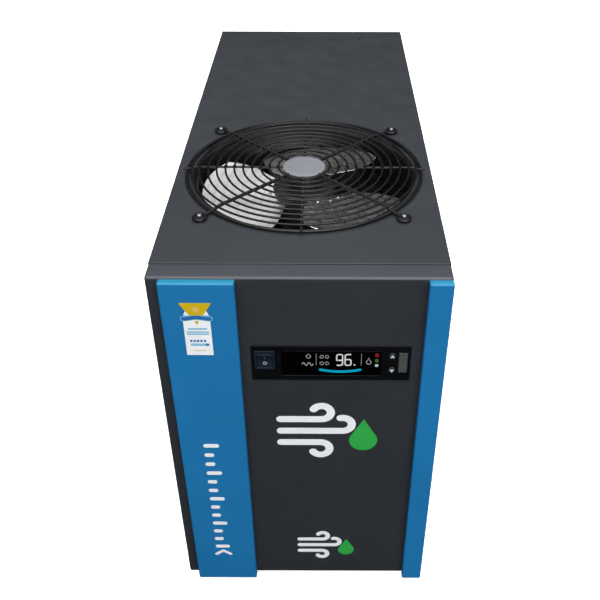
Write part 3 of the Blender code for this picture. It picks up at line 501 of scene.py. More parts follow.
def add_turned(shape, profile, place, steps=64, axis="Z"):
    """A body of revolution. profile is (radius, height) pairs, and axis is the way that height runs."""
    lay = {
        "Z": Matrix.Identity(3),
        "-Y": Matrix.Rotation(math.radians(90), 3, "X"),
        "Y": Matrix.Rotation(math.radians(-90), 3, "X"),
        "X": Matrix.Rotation(math.radians(90), 3, "Y"),
        "-X": Matrix.Rotation(math.radians(-90), 3, "Y"),
    }[axis]
    rings = []
    for radius, height in profile:
        if radius <= 0:
            rings.append([shape.verts.new(Vector(place) + lay @ Vector((0, 0, height)))])
            continue
        ring = []
        for step in range(steps):
            turn = 2 * math.pi * step / steps
            point = Vector((radius * math.cos(turn), radius * math.sin(turn), height))
            ring.append(shape.verts.new(Vector(place) + lay @ point))
        rings.append(ring)
    if profile[0][0] > 0:
        rings.append(rings[0])
    for first, second in zip(rings, rings[1:]):
        for i in range(steps):
            j = (i + 1) % steps
            corners = [
                first[i % len(first)],
                first[j % len(first)],
                second[j % len(second)],
                second[i % len(second)],
            ]
            shape.faces.new(list(dict.fromkeys(corners)))


def turned(profile, place, steps=64, axis="Z"):
    shape = bmesh.new()
    add_turned(shape, profile, place, steps, axis)
    return to_mesh("turned", shape)


def cylinder(radius, first, last, place, steps=48, axis="Z"):
    """A plain closed cylinder between two heights, as a cutter."""
    return turned(((0, first), (radius, first), (radius, last), (0, last)), place, steps, axis)


def rounded_profile(profile, reach, steps=4):
    """Eases the corners of a closed-off profile whose ends are on the axis."""
    return [(point.x, point.y) for point in eased(profile, reach, steps)]


def add_modifier(obj, kind, **settings):
    made = obj.modifiers.new(kind.lower(), kind)
    for key, value in settings.items():
        setattr(made, key, value)
    return made


def cut(obj, mesh):
    """Takes a mesh out of a piece. The cutter isn't shown."""
    cutter = placed(f"{obj.name}_cutter", mesh)
    add_modifier(obj, "BOOLEAN", operation="DIFFERENCE", solver="EXACT", object=cutter)
    bake(obj)
    bpy.data.objects.remove(cutter)


def bake(obj):
    """Applies the piece's modifiers to its mesh."""
    bpy.context.view_layer.update()
    graph = bpy.context.evaluated_depsgraph_get()
    mesh = bpy.data.meshes.new_from_object(obj.evaluated_get(graph))
    obj.modifiers.clear()
    obj.data = mesh


def soften_edges(obj, width, segments=3):
    """Small rounds on all sharp edges, with flat faces kept flat."""
    add_modifier(obj, "BEVEL", width=width, segments=segments, limit_method="ANGLE", harden_normals=False)
    add_modifier(obj, "WEIGHTED_NORMAL", keep_sharp=False)
    return obj


def cover(name, node, open_side, finish_name, rounding, thickness=SHEET, holes=()):
    """A folded sheet cover in a CAD node's box: no face on open_side, rolled folds, and holes cut last."""
    mesh = cuboid(*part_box(node))
    shape = bmesh.new()
    shape.from_mesh(mesh)
    away = Vector(open_side)
    lid = max(shape.faces, key=lambda face: face.normal.dot(away))
    bmesh.ops.delete(shape, geom=[lid], context="FACES_ONLY")
    folds = [edge for edge in shape.edges if len(edge.link_faces) == 2]
    bmesh.ops.bevel(shape, geom=folds, offset=rounding, segments=5, profile=0.5, affect="EDGES")
    shape.to_mesh(mesh)
    shape.free()
    obj = piece(name, mesh, finish_name, stands_for=(node,))
    add_modifier(obj, "SOLIDIFY", thickness=thickness, offset=-1.0, use_even_offset=True)
    bake(obj)
    if holes:
        shape = bmesh.new()
        for hole in holes:
            shape.from_mesh(hole)
        cut(obj, to_mesh("holes", shape))
    add_modifier(obj, "WEIGHTED_NORMAL", keep_sharp=True)
    return obj


def polar(radius, angle, z=0.0):
    turn = math.radians(angle)
    return Vector((FAN.x + radius * math.cos(turn), FAN.y + radius * math.sin(turn), z))


def screw_mesh(place, radius, axis, height=None):
    """A pan-head screw with a cross recess, seen from outside."""
    height = height or radius * 0.55
    profile = (
        (0.0, height * 0.25),
        (radius * 0.20, height * 0.25),
        (radius * 0.24, height * 0.96),
        (radius * 0.55, height * 0.92),
        (radius * 0.85, height * 0.60),
        (radius, height * 0.15),
        (radius, -0.0008),
        (0.0, -0.0008),
    )
    return turned(profile, place, 24, axis)


def joined(meshes):
    shape = bmesh.new()
    for mesh in meshes:
        shape.from_mesh(mesh)
    return to_mesh("joined", shape)


# ---------------------------------------------------------------- cabinet
FAN_HOLE_RADIUS = 0.1785
SEAM = 0.0014  # gap between the top cover and the front cover
PLAY = 0.0004  # gap round each part that is let into another
KEY_HOLE_RADIUS = 0.0059
PORT_HOLE_RADII = {
    "air_inlet_coupling": 0.0275,
    "air_outlet_coupling": 0.0275,
    "power_cable_gland": 0.0104,
    "drain_outlet": 0.0104,
}


def make_covers():
    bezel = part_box("control_bezel")
    window = (bezel[1] - bezel[0]).xz + Vector((2 * PLAY, 2 * PLAY))
    centre = middle("control_bezel").xz
    bezel_hole = prisms([rounded_outline(*window, 0.003, centre=centre)], FRONT - 0.01, FRONT + 0.01)
    cover("front_cover", "front_panel", (0, 1, 0), "front_powder_coat", 0.0045, holes=[bezel_hole])

    fan_hole = cylinder(FAN_HOLE_RADIUS, TOP + 0.01, TOP - 0.01, FAN_AXIS, 128)
    top = cover("top_cover", "top_panel", (0, 0, -1), "dark_powder_coat", 0.0009, holes=[fan_hole])
    for vertex in top.data.vertices:
        if vertex.co.y < COVER_BACK + 0.003:
            vertex.co.y += SEAM

    port_holes = []
    for node, radius in PORT_HOLE_RADII.items():
        port_holes.append(cylinder(radius, 0.01, -0.01, (middle(node).x, REAR, middle(node).z), axis="Y"))
    cover("rear_cover", "rear_panel", (0, -1, 0), "dark_powder_coat", 0.002, holes=port_holes)

    for side, name in ((-1, "left"), (1, "right")):
        inner, outer = side * HALF - 0.004, side * HALF + 0.004
        slots = [prisms([outline], inner, outer, "X") for outline in slot_outlines()]
        panel = f"{name}_side"
        cover(f"{panel}_cover", f"{panel}_panel", (-side, 0, 0), "dark_powder_coat", 0.002, holes=slots)
        make_louvres(name, side)


SLOT_LENGTH, SLOT_HEIGHT, SLOT_PITCH, SLOT_ROWS = 0.125, 0.009, 0.036, 9


def slot_places():
    """Middle of each air slot in a side panel, as (y, z)."""
    lowest = FOOT + 0.120 + SLOT_HEIGHT / 2
    for column in (-0.5, 0.5):
        for row in range(SLOT_ROWS):
            yield FAN.y + column * (SLOT_LENGTH + 0.025), lowest + row * SLOT_PITCH


def slot_outlines():
    for place in slot_places():
        yield rounded_outline(SLOT_LENGTH, SLOT_HEIGHT, 0.0043, 6, place)


def make_louvres(name, side):
    """Inner vanes that lean down and in behind each slot, so that rain and fingers stay out."""
    shape = bmesh.new()
    wall = side * (HALF - SHEET)
    for y, z in slot_places():
        upper = z + SLOT_HEIGHT / 2 + 0.002
        profile = [
            (wall, upper), (wall - side * 0.0035, upper - 0.0015), (wall - side * 0.0095, upper - 0.0125)
        ]
        thick = [(x - side * 0.0009, height + 0.0009) for x, height in reversed(profile)]
        half = SLOT_LENGTH / 2 + 0.002
        add_prism(shape, profile + thick, y - half, y + half)
    piece(f"{name}_louvre_vanes", to_mesh("vanes", shape), "dark_powder_coat")


def make_trim_strips():
    for side in ("left", "right"):
        cover(f"{side}_blue_strip", f"{side}_trim_strip", (0, 1, 0), "blue_paint", 0.0028, thickness=0.002)


def make_cover_screws():
    """Fixings of the removable covers: at the rear of the top, along the sides and round the rear."""
    top = [(x, REAR - 0.051, TOP) for x in (-0.032, 0.109)]
    piece("top_cover_screws", joined([screw_mesh(p, 0.0030, "Z", 0.0012) for p in top]), "guard_black")
    for side, name in ((-1, "left"), (1, "right")):
        axis = "X" if side > 0 else "-X"
        places = [
            (side * HALF, y, z)
            for y in (COVER_BACK + 0.030, REAR - 0.060)
            for z in (FOOT + 0.014, TOP - 0.038)
        ]
        meshes = [screw_mesh(p, 0.0045, axis) for p in places]
        piece(f"{name}_cover_screws", joined(meshes), "bright_steel")
    rear = [
        (x, REAR, z)
        for x in (-HALF + 0.014, HALF - 0.014)
        for z in (FOOT + 0.020, (FOOT + TOP) / 2, TOP - 0.045)
    ]
    piece("rear_cover_screws", joined([screw_mesh(p, 0.0045, "Y") for p in rear]), "bright_steel")


def make_feet():
    """Moulded feet with a stepped neck, a flared skirt and a recess for their screw."""
    height = FOOT + SHEET
    profile = rounded_profile(
        (
            (0, height),
            (0.014, height),
            (0.014, height - 0.004),
            (0.0165, height - 0.006),
            (0.021, 0.003),
            (0.020, 0.0),
            (0.008, 0.0),
            (0.008, 0.009),
            (0, 0.009),
        ),
        0.0009,
    )
    for end in ("front", "rear"):
        for side in ("left", "right"):
            node = f"foot_{end}_{side}"
            place = middle(node)
            piece(f"rubber_{node}", turned(profile, (place.x, place.y, 0), 64), "rubber", stands_for=(node,))


# ---------------------------------------------------------------- controls
def make_bezel():
    lowest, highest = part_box("control_bezel")
    size, centre = (highest - lowest).xz, middle("control_bezel").xz
    mesh = prisms([rounded_outline(*size, 0.0025, centre=centre)], lowest.y, highest.y)
    bezel = piece("control_surround", mesh, "black_plastic", stands_for=("control_bezel",))
    pockets = []
    for node, depth in (
        ("display_window", FRONT + 0.0026),
        ("service_port_cover", FRONT + 0.001),
        ("switch_frame", highest.y + 0.01),
    ):
        near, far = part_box(node)
        radius = 0.0019 if node == "switch_frame" else 0.0008
        size = (far - near).xz
        outline = rounded_outline(size.x + 2 * PLAY, size.y + 2 * PLAY, radius, 4, middle(node).xz)
        pockets.append(prisms([outline], FRONT - 0.01, depth))
    for node in ("up_button", "down_button"):
        place = (middle(node).x, FRONT, middle(node).z)
        pockets.append(cylinder(KEY_HOLE_RADIUS, 0.03, -0.03, place, axis="Y"))
    cut(bezel, joined(pockets))
    soften_edges(bezel, 0.0005, 2)


def make_screen():
    lowest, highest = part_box("display_window")
    glass = piece("display_glass", cuboid(lowest, highest), "screen_gloss", stands_for=("display_window",))
    soften_edges(glass, 0.0002, 1)
    make_display_graphics()


def lit(name, outlines, finish_name):
    """Thin lit or printed shapes on the face of the display."""
    piece(name, prisms(outlines, GLASS_FACE - 0.00025, GLASS_FACE + 0.0001), finish_name, sharp=20)


DIGITS = {
    # Strokes in a box 0.42 wide and 1 high; the first of each is its closed loop.
    "9": (((0, 0.5), (0, 1), (0.42, 1), (0.42, 0.46), (0, 0.46)), ((0.42, 0.75), (0.42, 0), (0.04, 0))),
    "6": (((0, 0), (0, 0.54), (0.42, 0.54), (0.42, 0)), ((0, 0.25), (0, 1), (0.38, 1))),
}


def digit(character, left, base, height, width):
    """The flat shapes of a digit drawn with one stroke width."""
    loop, tail = DIGITS[character]
    inner = height - width
    reach = 0.16 * inner

    def placed_points(points):
        return [(left + width / 2 + x * inner, base + width / 2 + z * inner) for x, z in points]

    ring = stroke(eased(placed_points(loop), reach, closed=True), width, closed=True)
    return [ring, stroke(eased(placed_points(tail), reach), width)]


def make_display_graphics():
    """A two-digit reading over a shallow arc, small pictograms, dividers and a column of status lamps."""
    base, height = TOP - 0.1522, 0.0219
    big = digit("9", 0.0502, base, height, 0.0020) + digit("6", 0.0622, base, height, 0.0020)
    big.append(arc((0.0766, base + 0.0016), 0.0013, 0, 330, 11))
    lit("display_digits", big, "glow_white")
    dividers = [rounded_outline(0.0007, 0.021, 0.0003, 3, (x, TOP - 0.1405)) for x in (0.0222, 0.0862)]
    small = []
    for z in (TOP - 0.1355, TOP - 0.1475):
        for x in (0.0300, 0.0375):
            small.append(stroke(arc((x, z), 0.0026, 30, 350, 10), 0.0009))
    lit("display_small_marks", dividers + small, "glow_dim")
    x, z = 0.0111, TOP - 0.1348
    diamond = [(x, z + 0.0043), (x - 0.0039, z), (x, z - 0.0043), (x + 0.0039, z)]
    gear = stroke(eased(diamond, 0.002, closed=True), 0.0011, closed=True)
    shares = [k / 24 for k in range(25)]
    wave = [(0.0020 + 0.0155 * t, TOP - 0.1490 + 0.0028 * math.sin(t * 4 * math.pi)) for t in shares]
    bowl = arc((0.0968, TOP - 0.1455), 0.0034, -235, 55, 18)
    drop = stroke(bowl + [(0.0968, TOP - 0.1372)], 0.0011, closed=True)
    lit("display_pictograms", [gear, stroke(wave, 0.0013), drop], "glow_dim")
    radius = 0.115
    centre = ((0.0256 + 0.0871) / 2, TOP - 0.1632 + radius)
    spread = math.degrees(math.asin(0.0285 / radius))
    lit("display_arc", [stroke(arc(centre, radius, -90 - spread, -90 + spread, 32), 0.0041)], "glow_cyan")
    for name, fall, size in (("red", 0.1325, 0.0062), ("green", 0.1425, 0.0062), ("ice", 0.1513, 0.0044)):
        lamp = rounded_outline(0.0052, size, 0.0018, 5, (0.1082, TOP - fall))
        lit(f"status_lamp_{name}", [lamp], f"glow_{name}")


def make_keys():
    """Round keys with a raised arrowhead each, one up and one down."""
    for node, body, way in (("up_button", "up_key", 1), ("down_button", "down_key", -1)):
        lowest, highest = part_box(node)
        centre, radius = middle(node), (highest.x - lowest.x) / 2
        length = highest.y - lowest.y
        dome = ((0, length), (radius * 0.8, length - 0.0001), (radius, length - 0.0009), (radius, 0), (0, 0))
        mesh = turned(rounded_profile(dome, 0.0004), (centre.x, highest.y, centre.z), 64, "-Y")
        piece(f"{node}_cap", mesh, "key_grey", body, (node,))
        foot, tip = centre.z - way * 0.0020, centre.z + way * 0.0036
        arrow = [(centre.x - 0.0034, foot), (centre.x + 0.0034, foot), (centre.x, tip)]
        mark = prisms([eased(arrow, 0.0008, closed=True)], lowest.y - 0.0003, lowest.y + 0.0005)
        piece(f"{node}_arrow", mark, "print_pale", body)


def make_port_cover():
    """Ribbed snap-in cover beside the keys."""
    lowest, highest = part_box("service_port_cover")
    shape = bmesh.new()
    centre, size = middle("service_port_cover").xz, (highest - lowest).xz
    add_prism(shape, rounded_outline(*size, 0.0008, 4, centre), lowest.y + 0.0003, highest.y)
    ribs = 11
    for rib in range(ribs):
        z = lowest.z + size.y * (rib + 0.5) / ribs
        outline = rounded_outline(size.x - 0.0022, 0.0018, 0.0008, 4, (centre.x, z))
        add_prism(shape, outline, lowest.y - 0.0004, lowest.y + 0.0004)
    node = "service_port_cover"
    ribbed = piece("port_cover_ribbed", to_mesh("ribs", shape), "label_grey", stands_for=(node,))
    soften_edges(ribbed, 0.0002, 1)


ROCKER_TILT = 9  # degrees, of the paddle as it rests and of each slope of its valley


def valley_height(share):
    """How far the paddle's face stands out, at a share of the way from its middle to an end."""
    return 0.0012 + 0.0022 * abs(share) ** 1.6


def make_switch():
    """Snap-in rocker switch: a frame with a bevelled lip and a paddle with a shallow valley across it."""
    lowest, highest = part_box("switch_frame")
    size, centre = (highest - lowest).xz, middle("switch_frame").xz
    block = prisms([rounded_outline(*size, 0.0015, 5, centre)], lowest.y, highest.y)
    surround = piece("switch_surround", block, "switch_plastic", stands_for=("switch_frame",))
    rims = 0.006
    well = rounded_outline(size.x - rims, size.y - rims, 0.001, 4, centre)
    cut(surround, prisms([well], lowest.y - 0.01, FRONT + 0.0125))
    soften_edges(surround, 0.0006, 3)
    near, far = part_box("rocker_paddle")
    half = (size.y - rims) / 2 - 0.00125
    tilt = Matrix.Rotation(math.radians(ROCKER_TILT), 3, "X")
    horn, back = 0.0030, -0.0060
    outline = [
        (-half, back + 0.002), (-0.6 * half, back), (0.6 * half, back), (half, back + 0.002), (half, horn)
    ]
    # A hollow face: the curve of a shallow valley between the two horns.
    shares = (0.93, 0.8, 0.6, 0.4, 0.2, 0.0, -0.2, -0.4, -0.6, -0.8, -0.93)
    outline += [(half * share, valley_height(share)) for share in shares]
    outline.append((-half, horn))
    shape = bmesh.new()
    add_prism(shape, [(-y, z) for z, y in outline], near.x, far.x, "X")
    for vertex in shape.verts:
        turned_place = tilt @ Vector((0, vertex.co.y, vertex.co.z))
        vertex.co = Vector((vertex.co.x, ROCKER.y + turned_place.y, ROCKER.z + turned_place.z))
    rocker = piece("rocker_cap", to_mesh("rocker", shape), "switch_plastic", "rocker", ("rocker_paddle",))
    soften_edges(rocker, 0.0005, 3)
    make_switch_marks(tilt, half)


def make_switch_marks(tilt, half):
    """On and off symbols on the rocker: a bar above the valley and a ring below it."""
    for name, z, outline, colour in (
        ("bar", 0.46 * half, rounded_outline(0.0013, 0.0056, 0.0005, 3), "print_dim"),
        ("ring", -0.52 * half, stroke(arc((0, 0), 0.0022, 0, 345, 23), 0.0010, closed=True), "print_pale"),
    ):
        shape = bmesh.new()
        add_prism(shape, outline, -0.00015, 0.0004)
        slope = Matrix.Rotation(math.radians(math.copysign(ROCKER_TILT, z)), 3, "X")
        face = Vector((0, -valley_height(z / half), z))
        for vertex in shape.verts:
            spot = tilt @ (face + slope @ vertex.co)
            vertex.co = Vector((ROCKER.x + vertex.co.x, ROCKER.y + spot.y, ROCKER.z + spot.z))
        piece(f"rocker_{name}", to_mesh(name, shape), colour, "rocker")


# ---------------------------------------------------------------- printed marks
def print_on(name, outlines, face, finish_name, thickness=0.00025):
    piece(name, prisms(outlines, face - thickness, face + 0.0001), finish_name, sharp=20)


def make_air_mark(name, centre, width):
    """A pictogram of dry air: three white streams with a curl each, and a green drop."""
    x, z = centre
    unit = width / 10
    thick = unit * 0.85
    streams = []
    for row, (reach, way, sweep) in enumerate(((4.3, 1, 150), (6.5, 1, 105), (4.2, -1, 150))):
        level = z + unit * (1.5 - 1.7 * row)
        end = x - 5 * unit + reach * unit
        curl = arc((end, level + way * unit * 0.95), unit * 0.95, -90 * way, sweep * way, 14)
        streams.append(stroke([(x - 5 * unit, level)] + curl, thick))
    print_on(f"{name}_streams", streams, FRONT, "print_white")
    tip = (x + 3.7 * unit, z + 1.5 * unit)
    drop = arc((x + 3.7 * unit, z - 1.6 * unit), unit * 1.5, -215, 35, 28)
    print_on(f"{name}_drop", [drop + [tip]], FRONT, "print_green")


def make_front_marks():
    make_air_mark("large_mark", (0.0400, TOP - 0.281), 0.145)
    make_air_mark("small_mark", (0.038, TOP - 0.560), 0.092)
    strip = middle("left_trim_strip").x
    dashes = []
    longest = 0.024
    for index in range(13):
        length = longest if index % 3 == 0 else 0.015
        centre = (strip - 0.003 - (longest - length) / 2, TOP - 0.306 - 0.0205 * index)
        dashes.append(rounded_outline(length, 0.0075, 0.0034, 6, centre))
    foot, tip = TOP - 0.573, TOP - 0.564
    chevron = [(strip - 0.015, foot), (strip - 0.003, tip), (strip + 0.009, foot)]
    chevron = stroke(eased(chevron, 0.002), 0.0055)
    print_on("strip_dashes", dashes + [chevron], STRIP_FACE, "print_white")


def make_badge():
    """A printed quality seal on the left strip: gold cup, blue ribbon and a white card with ruled lines."""
    x = middle("left_trim_strip").x - 0.003
    top = TOP - 0.0340
    half_top, half_low = 0.0221, 0.0095
    cup = [
        (x - half_top, top), (x + half_top, top), (x + half_low, top - 0.0205), (x - half_low, top - 0.0205)
    ]
    card = [rounded_outline(0.0369, 0.0620, 0.0010, 4, (x, top - 0.0590))]
    shoulders = [
        [
            (x - 0.0175, top - 0.0205),
            (x - 0.0135, top - 0.0120),
            (x + 0.0135, top - 0.0120),
            (x + 0.0175, top - 0.0205),
        ]
    ]
    print_on("badge_card", card + shoulders, STRIP_FACE, "print_white", 0.00020)
    print_on("badge_cup", [eased(cup, 0.0012, closed=True)], STRIP_FACE, "print_gold", 0.00035)
    shares = [k / 20 for k in range(41)]
    scallop = [
        (x + 0.0180 * (share - 1), top - 0.0250 - 0.0012 * math.cos(share * math.pi)) for share in shares
    ]
    print_on("badge_ribbon_edge", [stroke(scallop, 0.0084)], STRIP_FACE, "print_cyan", 0.00030)
    print_on("badge_ribbon", [stroke(scallop, 0.0062)], STRIP_FACE, "print_blue", 0.00040)
    seal = [arc((x, top - 0.0105), 0.0048, 0, 345, 23)]
    print_on("badge_seal", seal, STRIP_FACE, "print_straw", 0.00045)
    gem = [(x - 0.0030, top - 0.0300), (x + 0.0030, top - 0.0300), (x, top - 0.0370)]
    print_on("badge_gem", [gem], STRIP_FACE, "print_gold", 0.00035)
    lines = [
        (0.0265, 0.0030, -0.0435),
        (0.0310, 0.0026, -0.0490),
        (0.0310, 0.0026, -0.0526),
        (0.0240, 0.0042, -0.0712),
    ]
    ruled = [rounded_outline(w, h, h * 0.45, 3, (x, top + z)) for w, h, z in lines]
    print_on("badge_lines", ruled, STRIP_FACE, "print_cyan", 0.00030)
    blocks = [
        rounded_outline(0.0034, 0.0036, 0.0010, 4, (x + 0.0047 * k - 0.001, top - 0.0645))
        for k in range(-2, 3)
    ]
    blocks.append(rounded_outline(0.0046, 0.0042, 0.0012, 4, (x + 0.0115, top - 0.0712)))
    blocks += [
        rounded_outline(0.0062, 0.0046, 0.0016, 4, (x + side * 0.0145, top - 0.0254)) for side in (-1, 1)
    ]
    print_on("badge_blocks", blocks, STRIP_FACE, "print_blue", 0.00045)
    footer = [rounded_outline(0.0180, 0.0012, 0.0005, 3, (x, top - 0.0815))]
    print_on("badge_footer", footer, STRIP_FACE, "print_straw", 0.00030)


# ---------------------------------------------------------------- fan
def blade_point(s, t, radius):
    """A point of the blade's middle surface. s runs across it from -1 to 1 and t out from hub to tip."""
    spread = 38 + 12 * math.sin(min(1.0, 2 * t) * math.pi / 2) - 8 * t * t
    corner = 0.022 if s < 0 else 0.012
    reach = radius - corner * t**5 * abs(s) ** 3
    angle = math.radians(spread * s)
    rise = -s * (0.009 + 0.007 * t) - 0.004 * (1 - s * s) * t
    return Vector((reach * math.cos(angle), reach * math.sin(angle), rise))


def blade_turns():
    """The turn of each blade about the fan's axis."""
    angles = [FIRST_BLADE + 360 / BLADES * blade for blade in range(BLADES)]
    return [Matrix.Rotation(math.radians(angle), 3, "Z") for angle in angles]


def make_impeller():
    """Three pressed blades, riveted to lugs on the rotor cup."""
    cup_high, cup_low = TOP - 0.021, TOP - 0.078
    centre = Vector((FAN.x, FAN.y, TOP - BLADE_DEPTH))
    across, along = 40, 30
    root = HUB_RADIUS + 0.0005
    shape = bmesh.new()
    for turn in blade_turns():
        grid = []
        for i in range(along + 1):
            t = i / along
            radius = root + (BLADE_TIP - root) * t
            row = [centre + turn @ blade_point(2 * j / across - 1, t, radius) for j in range(across + 1)]
            grid.append([shape.verts.new(point) for point in row])
        for inner, outer in zip(grid, grid[1:]):
            for j in range(across):
                shape.faces.new((inner[j], outer[j], outer[j + 1], inner[j + 1]))
    bmesh.ops.recalc_face_normals(shape, faces=shape.faces)
    bmesh.ops.solidify(shape, geom=list(shape.faces), thickness=0.0014)
    blades = piece(
        "fan_blades", to_mesh("blades", shape), "fan_aluminium", "impeller", ("fan_impeller",), sharp=50
    )
    soften_edges(blades, 0.0004, 2)
    profile = (
        (0, cup_high - 0.001),
        (HUB_RADIUS - 0.004, cup_high - 0.001),
        (HUB_RADIUS, cup_high - 0.005),
        (HUB_RADIUS, cup_low + 0.004),
        (HUB_RADIUS - 0.004, cup_low),
        (0, cup_low),
    )
    hub = turned(rounded_profile(profile, 0.003, 6), FAN_AXIS, 96)
    piece("fan_hub", hub, "hub_black", "impeller")
    rivet = ((0, 0.0024), (0.0016, 0.0020), (0.0028, 0.0008), (0.0030, -0.002), (0, -0.002))
    rivets = []
    for turn in blade_turns():
        for s in (-0.6, 0.0, 0.6):
            place = centre + turn @ blade_point(s, 0.07, HUB_RADIUS + 0.008)
            rivets.append(turned(rivet, place, 20))
    piece("fan_rivets", joined(rivets), "bright_steel", "impeller")


def make_shroud():
    """Spun bell-mouth ring round the blade tips, with a flange under the top panel."""
    bottom, top = low("fan_shroud").z, high("fan_shroud").z
    inner, flange, wall = BLADE_TIP + 0.005, 0.190, 0.0016
    outer = inner + wall
    profile = [(flange, top), (flange, top - wall)]
    profile += [
        (outer + 0.004 * (1 - math.sin(a)), top - wall - 0.004 * (1 - math.cos(a)))
        for a in (0.3, 0.7, 1.1, 1.57)
    ]
    profile += [(outer, bottom + 0.002), (inner + wall / 2, bottom), (inner, bottom + 0.001)]
    profile += [
        (inner + 0.006 * (1 - math.cos(a)), top - 0.006 + 0.006 * math.sin(a))
        for a in (0.0, 0.4, 0.8, 1.2, 1.57)
    ]
    piece("fan_bell_mouth", turned(profile, FAN_AXIS, 128), "guard_black", stands_for=("fan_shroud",))


def make_motor():
    bottom, top = low("fan_motor_stator").z, high("fan_motor_stator").z
    profile = (
        (0, top), (0.033, top), (0.033, top - 0.004), (0.024, top - 0.006), (0.024, bottom), (0, bottom)
    )
    core = turned(rounded_profile(profile, 0.001), FAN_AXIS, 64)
    piece("motor_core", core, "hub_black", stands_for=("fan_motor_stator",))


# ---------------------------------------------------------------- guard
RING_WIRE, CROSS_WIRE, ARM_WIRE, RIM_WIRE = 0.0017, 0.0018, 0.0028, 0.0028
GUARD_INNER, GUARD_RINGS = 0.0415, 10
EYE_RADIUS = 0.0085
ARM_Z = TOP + ARM_WIRE + 0.0004


def ring_route(radius, z, steps=120):
    return [polar(radius, 360 * step / steps, z) for step in range(steps)]


def guard_radii():
    pitch = (CAGE_RADIUS - GUARD_INNER) / (GUARD_RINGS - 1)
    return [GUARD_INNER + ring * pitch for ring in range(GUARD_RINGS)]


def make_guard():
    """Welded wire guard: a flat cage of rings on eight wires that dip to a rim. Four run on to eyes."""
    ring_z = CAGE_Z + 0.0015
    spoke_z = ring_z - RING_WIRE - CROSS_WIRE + 0.0010
    cage = [ring_route(radius, ring_z) for radius in guard_radii()]
    last_ring = ring_route((CAGE_RADIUS + 2 * RIM_RADIUS) / 3 - 0.0010, ring_z - 0.0016)
    rings = wires("guard_rings", cage + [last_ring], RING_WIRE, closed=True)
    piece("guard_rings", rings, "guard_black", stands_for=("fan_guard_cage",))
    rim_z = TOP + RIM_WIRE + 0.0004
    crosses = []
    for angle in CROSS_ANGLES:
        route = [
            polar(0.028, angle, spoke_z),
            polar(CAGE_RADIUS + 0.004, angle, spoke_z),
            polar(RIM_RADIUS - 0.002, angle, rim_z + RIM_WIRE),
            polar(RIM_RADIUS + 0.007, angle, rim_z + RIM_WIRE * 0.8),
        ]
        crosses.append(eased(route, 0.006, 6))
    piece("guard_cross_wires", wires("guard_cross_wires", crosses, CROSS_WIRE), "guard_black")
    arms, eyes = [], []
    for angle in ARM_ANGLES:
        route = [
            polar(0.028, angle, spoke_z - 0.0004),
            polar(CAGE_RADIUS + 0.004, angle, spoke_z - 0.0004),
            polar(RIM_RADIUS, angle, rim_z + RIM_WIRE * 0.8),
            polar(EYE_CIRCLE - EYE_RADIUS, angle, ARM_Z),
        ]
        arms.append(eased(route, 0.008, 8))
        centre = polar(EYE_CIRCLE, angle, ARM_Z)
        eyes.append([(*point, ARM_Z) for point in arc(centre, EYE_RADIUS, 0, 350, 35)])
    piece("guard_arms", wires("guard_arms", arms, ARM_WIRE), "guard_black")
    piece("guard_eyes", wires("guard_eyes", eyes, ARM_WIRE, closed=True), "guard_black")
    rim = wires("guard_rim", [ring_route(RIM_RADIUS, rim_z, 160)], RIM_WIRE, closed=True)
    piece("guard_rim", rim, "guard_black", stands_for=("fan_guard_frame",))
    make_guard_welds(ring_z, spoke_z)
    make_centre_plate()


def make_guard_welds(ring_z, spoke_z):
    """Squeezed resistance welds where the wires cross."""
    shape = bmesh.new()
    size = Matrix.Diagonal((0.0031, 0.0031, 0.0026, 1))
    for angle in CROSS_ANGLES + ARM_ANGLES:
        for radius in guard_radii():
            place = Matrix.Translation(polar(radius, angle, (ring_z + spoke_z) / 2))
            bmesh.ops.create_icosphere(shape, subdivisions=2, radius=1.0, matrix=place @ size)
    piece("guard_welds", to_mesh("welds", shape), "guard_black")


def make_centre_plate():
    """Painted disc at the guard's middle that carries the fan motor."""
    z = high("fan_motor_stator").z
    profile = (
        (0, CAGE_Z + 0.0020),
        (0.0300, CAGE_Z + 0.0020),
        (0.0342, CAGE_Z + 0.0012),
        (0.0345, CAGE_Z - 0.0012),
        (0, z + 0.0004),
    )
    piece("guard_centre_plate", turned(rounded_profile(profile, 0.0012, 6), FAN_AXIS, 96), "motor_grey")


def make_guard_screws():
    """Pan-head screws on plain washers, each through an eye of the guard."""
    for angle in ARM_ANGLES:
        node = f"guard_screw_{angle}"
        place = middle(node)
        under = high(node).z - 0.0046
        top = under + 0.0012
        head = screw_mesh((place.x, place.y, top), 0.0052, "Z", 0.0034)
        profile = rounded_profile(((0, top), (0.0082, top), (0.0082, under), (0, under)), 0.0004)
        washer = turned(profile, (place.x, place.y, 0), 48)
        piece(f"guard_fixing_{angle}", head, "guard_screw_steel", stands_for=(node,))
        piece(f"guard_washer_{angle}", washer, "guard_black")


# ---------------------------------------------------------------- inside and rear
def make_compressor():
    """Two pressed shells welded at the waist."""
    place = middle("compressor_shell")
    base, radius, dome = low("compressor_shell").z, 0.078, 0.045
    profile = [(0, base + 0.205)]
    profile += [
        (radius * math.sin(a), base + 0.160 + dome * math.cos(a) ** 0.9)
        for a in (0.2, 0.4, 0.6, 0.8, 1.0, 1.15, 1.3, 1.42, 1.5)
    ]
    profile += [
        (radius - 0.002, base + 0.102),
        (radius + 0.002, base + 0.0995),
        (radius + 0.0022, base + 0.094),
        (radius + 0.002, base + 0.0885),
        (radius - 0.003, base + 0.086),
    ]
    profile += [
        (radius * math.sin(a), base + dome - dome * math.cos(a) ** 0.9)
        for a in (1.45, 1.3, 1.1, 0.9, 0.7, 0.5, 0.25)
    ]
    profile.append((0, base))
    can = turned(profile, (place.x, place.y, 0), 96)
    piece("compressor_can", can, "compressor_black", stands_for=("compressor_shell",))


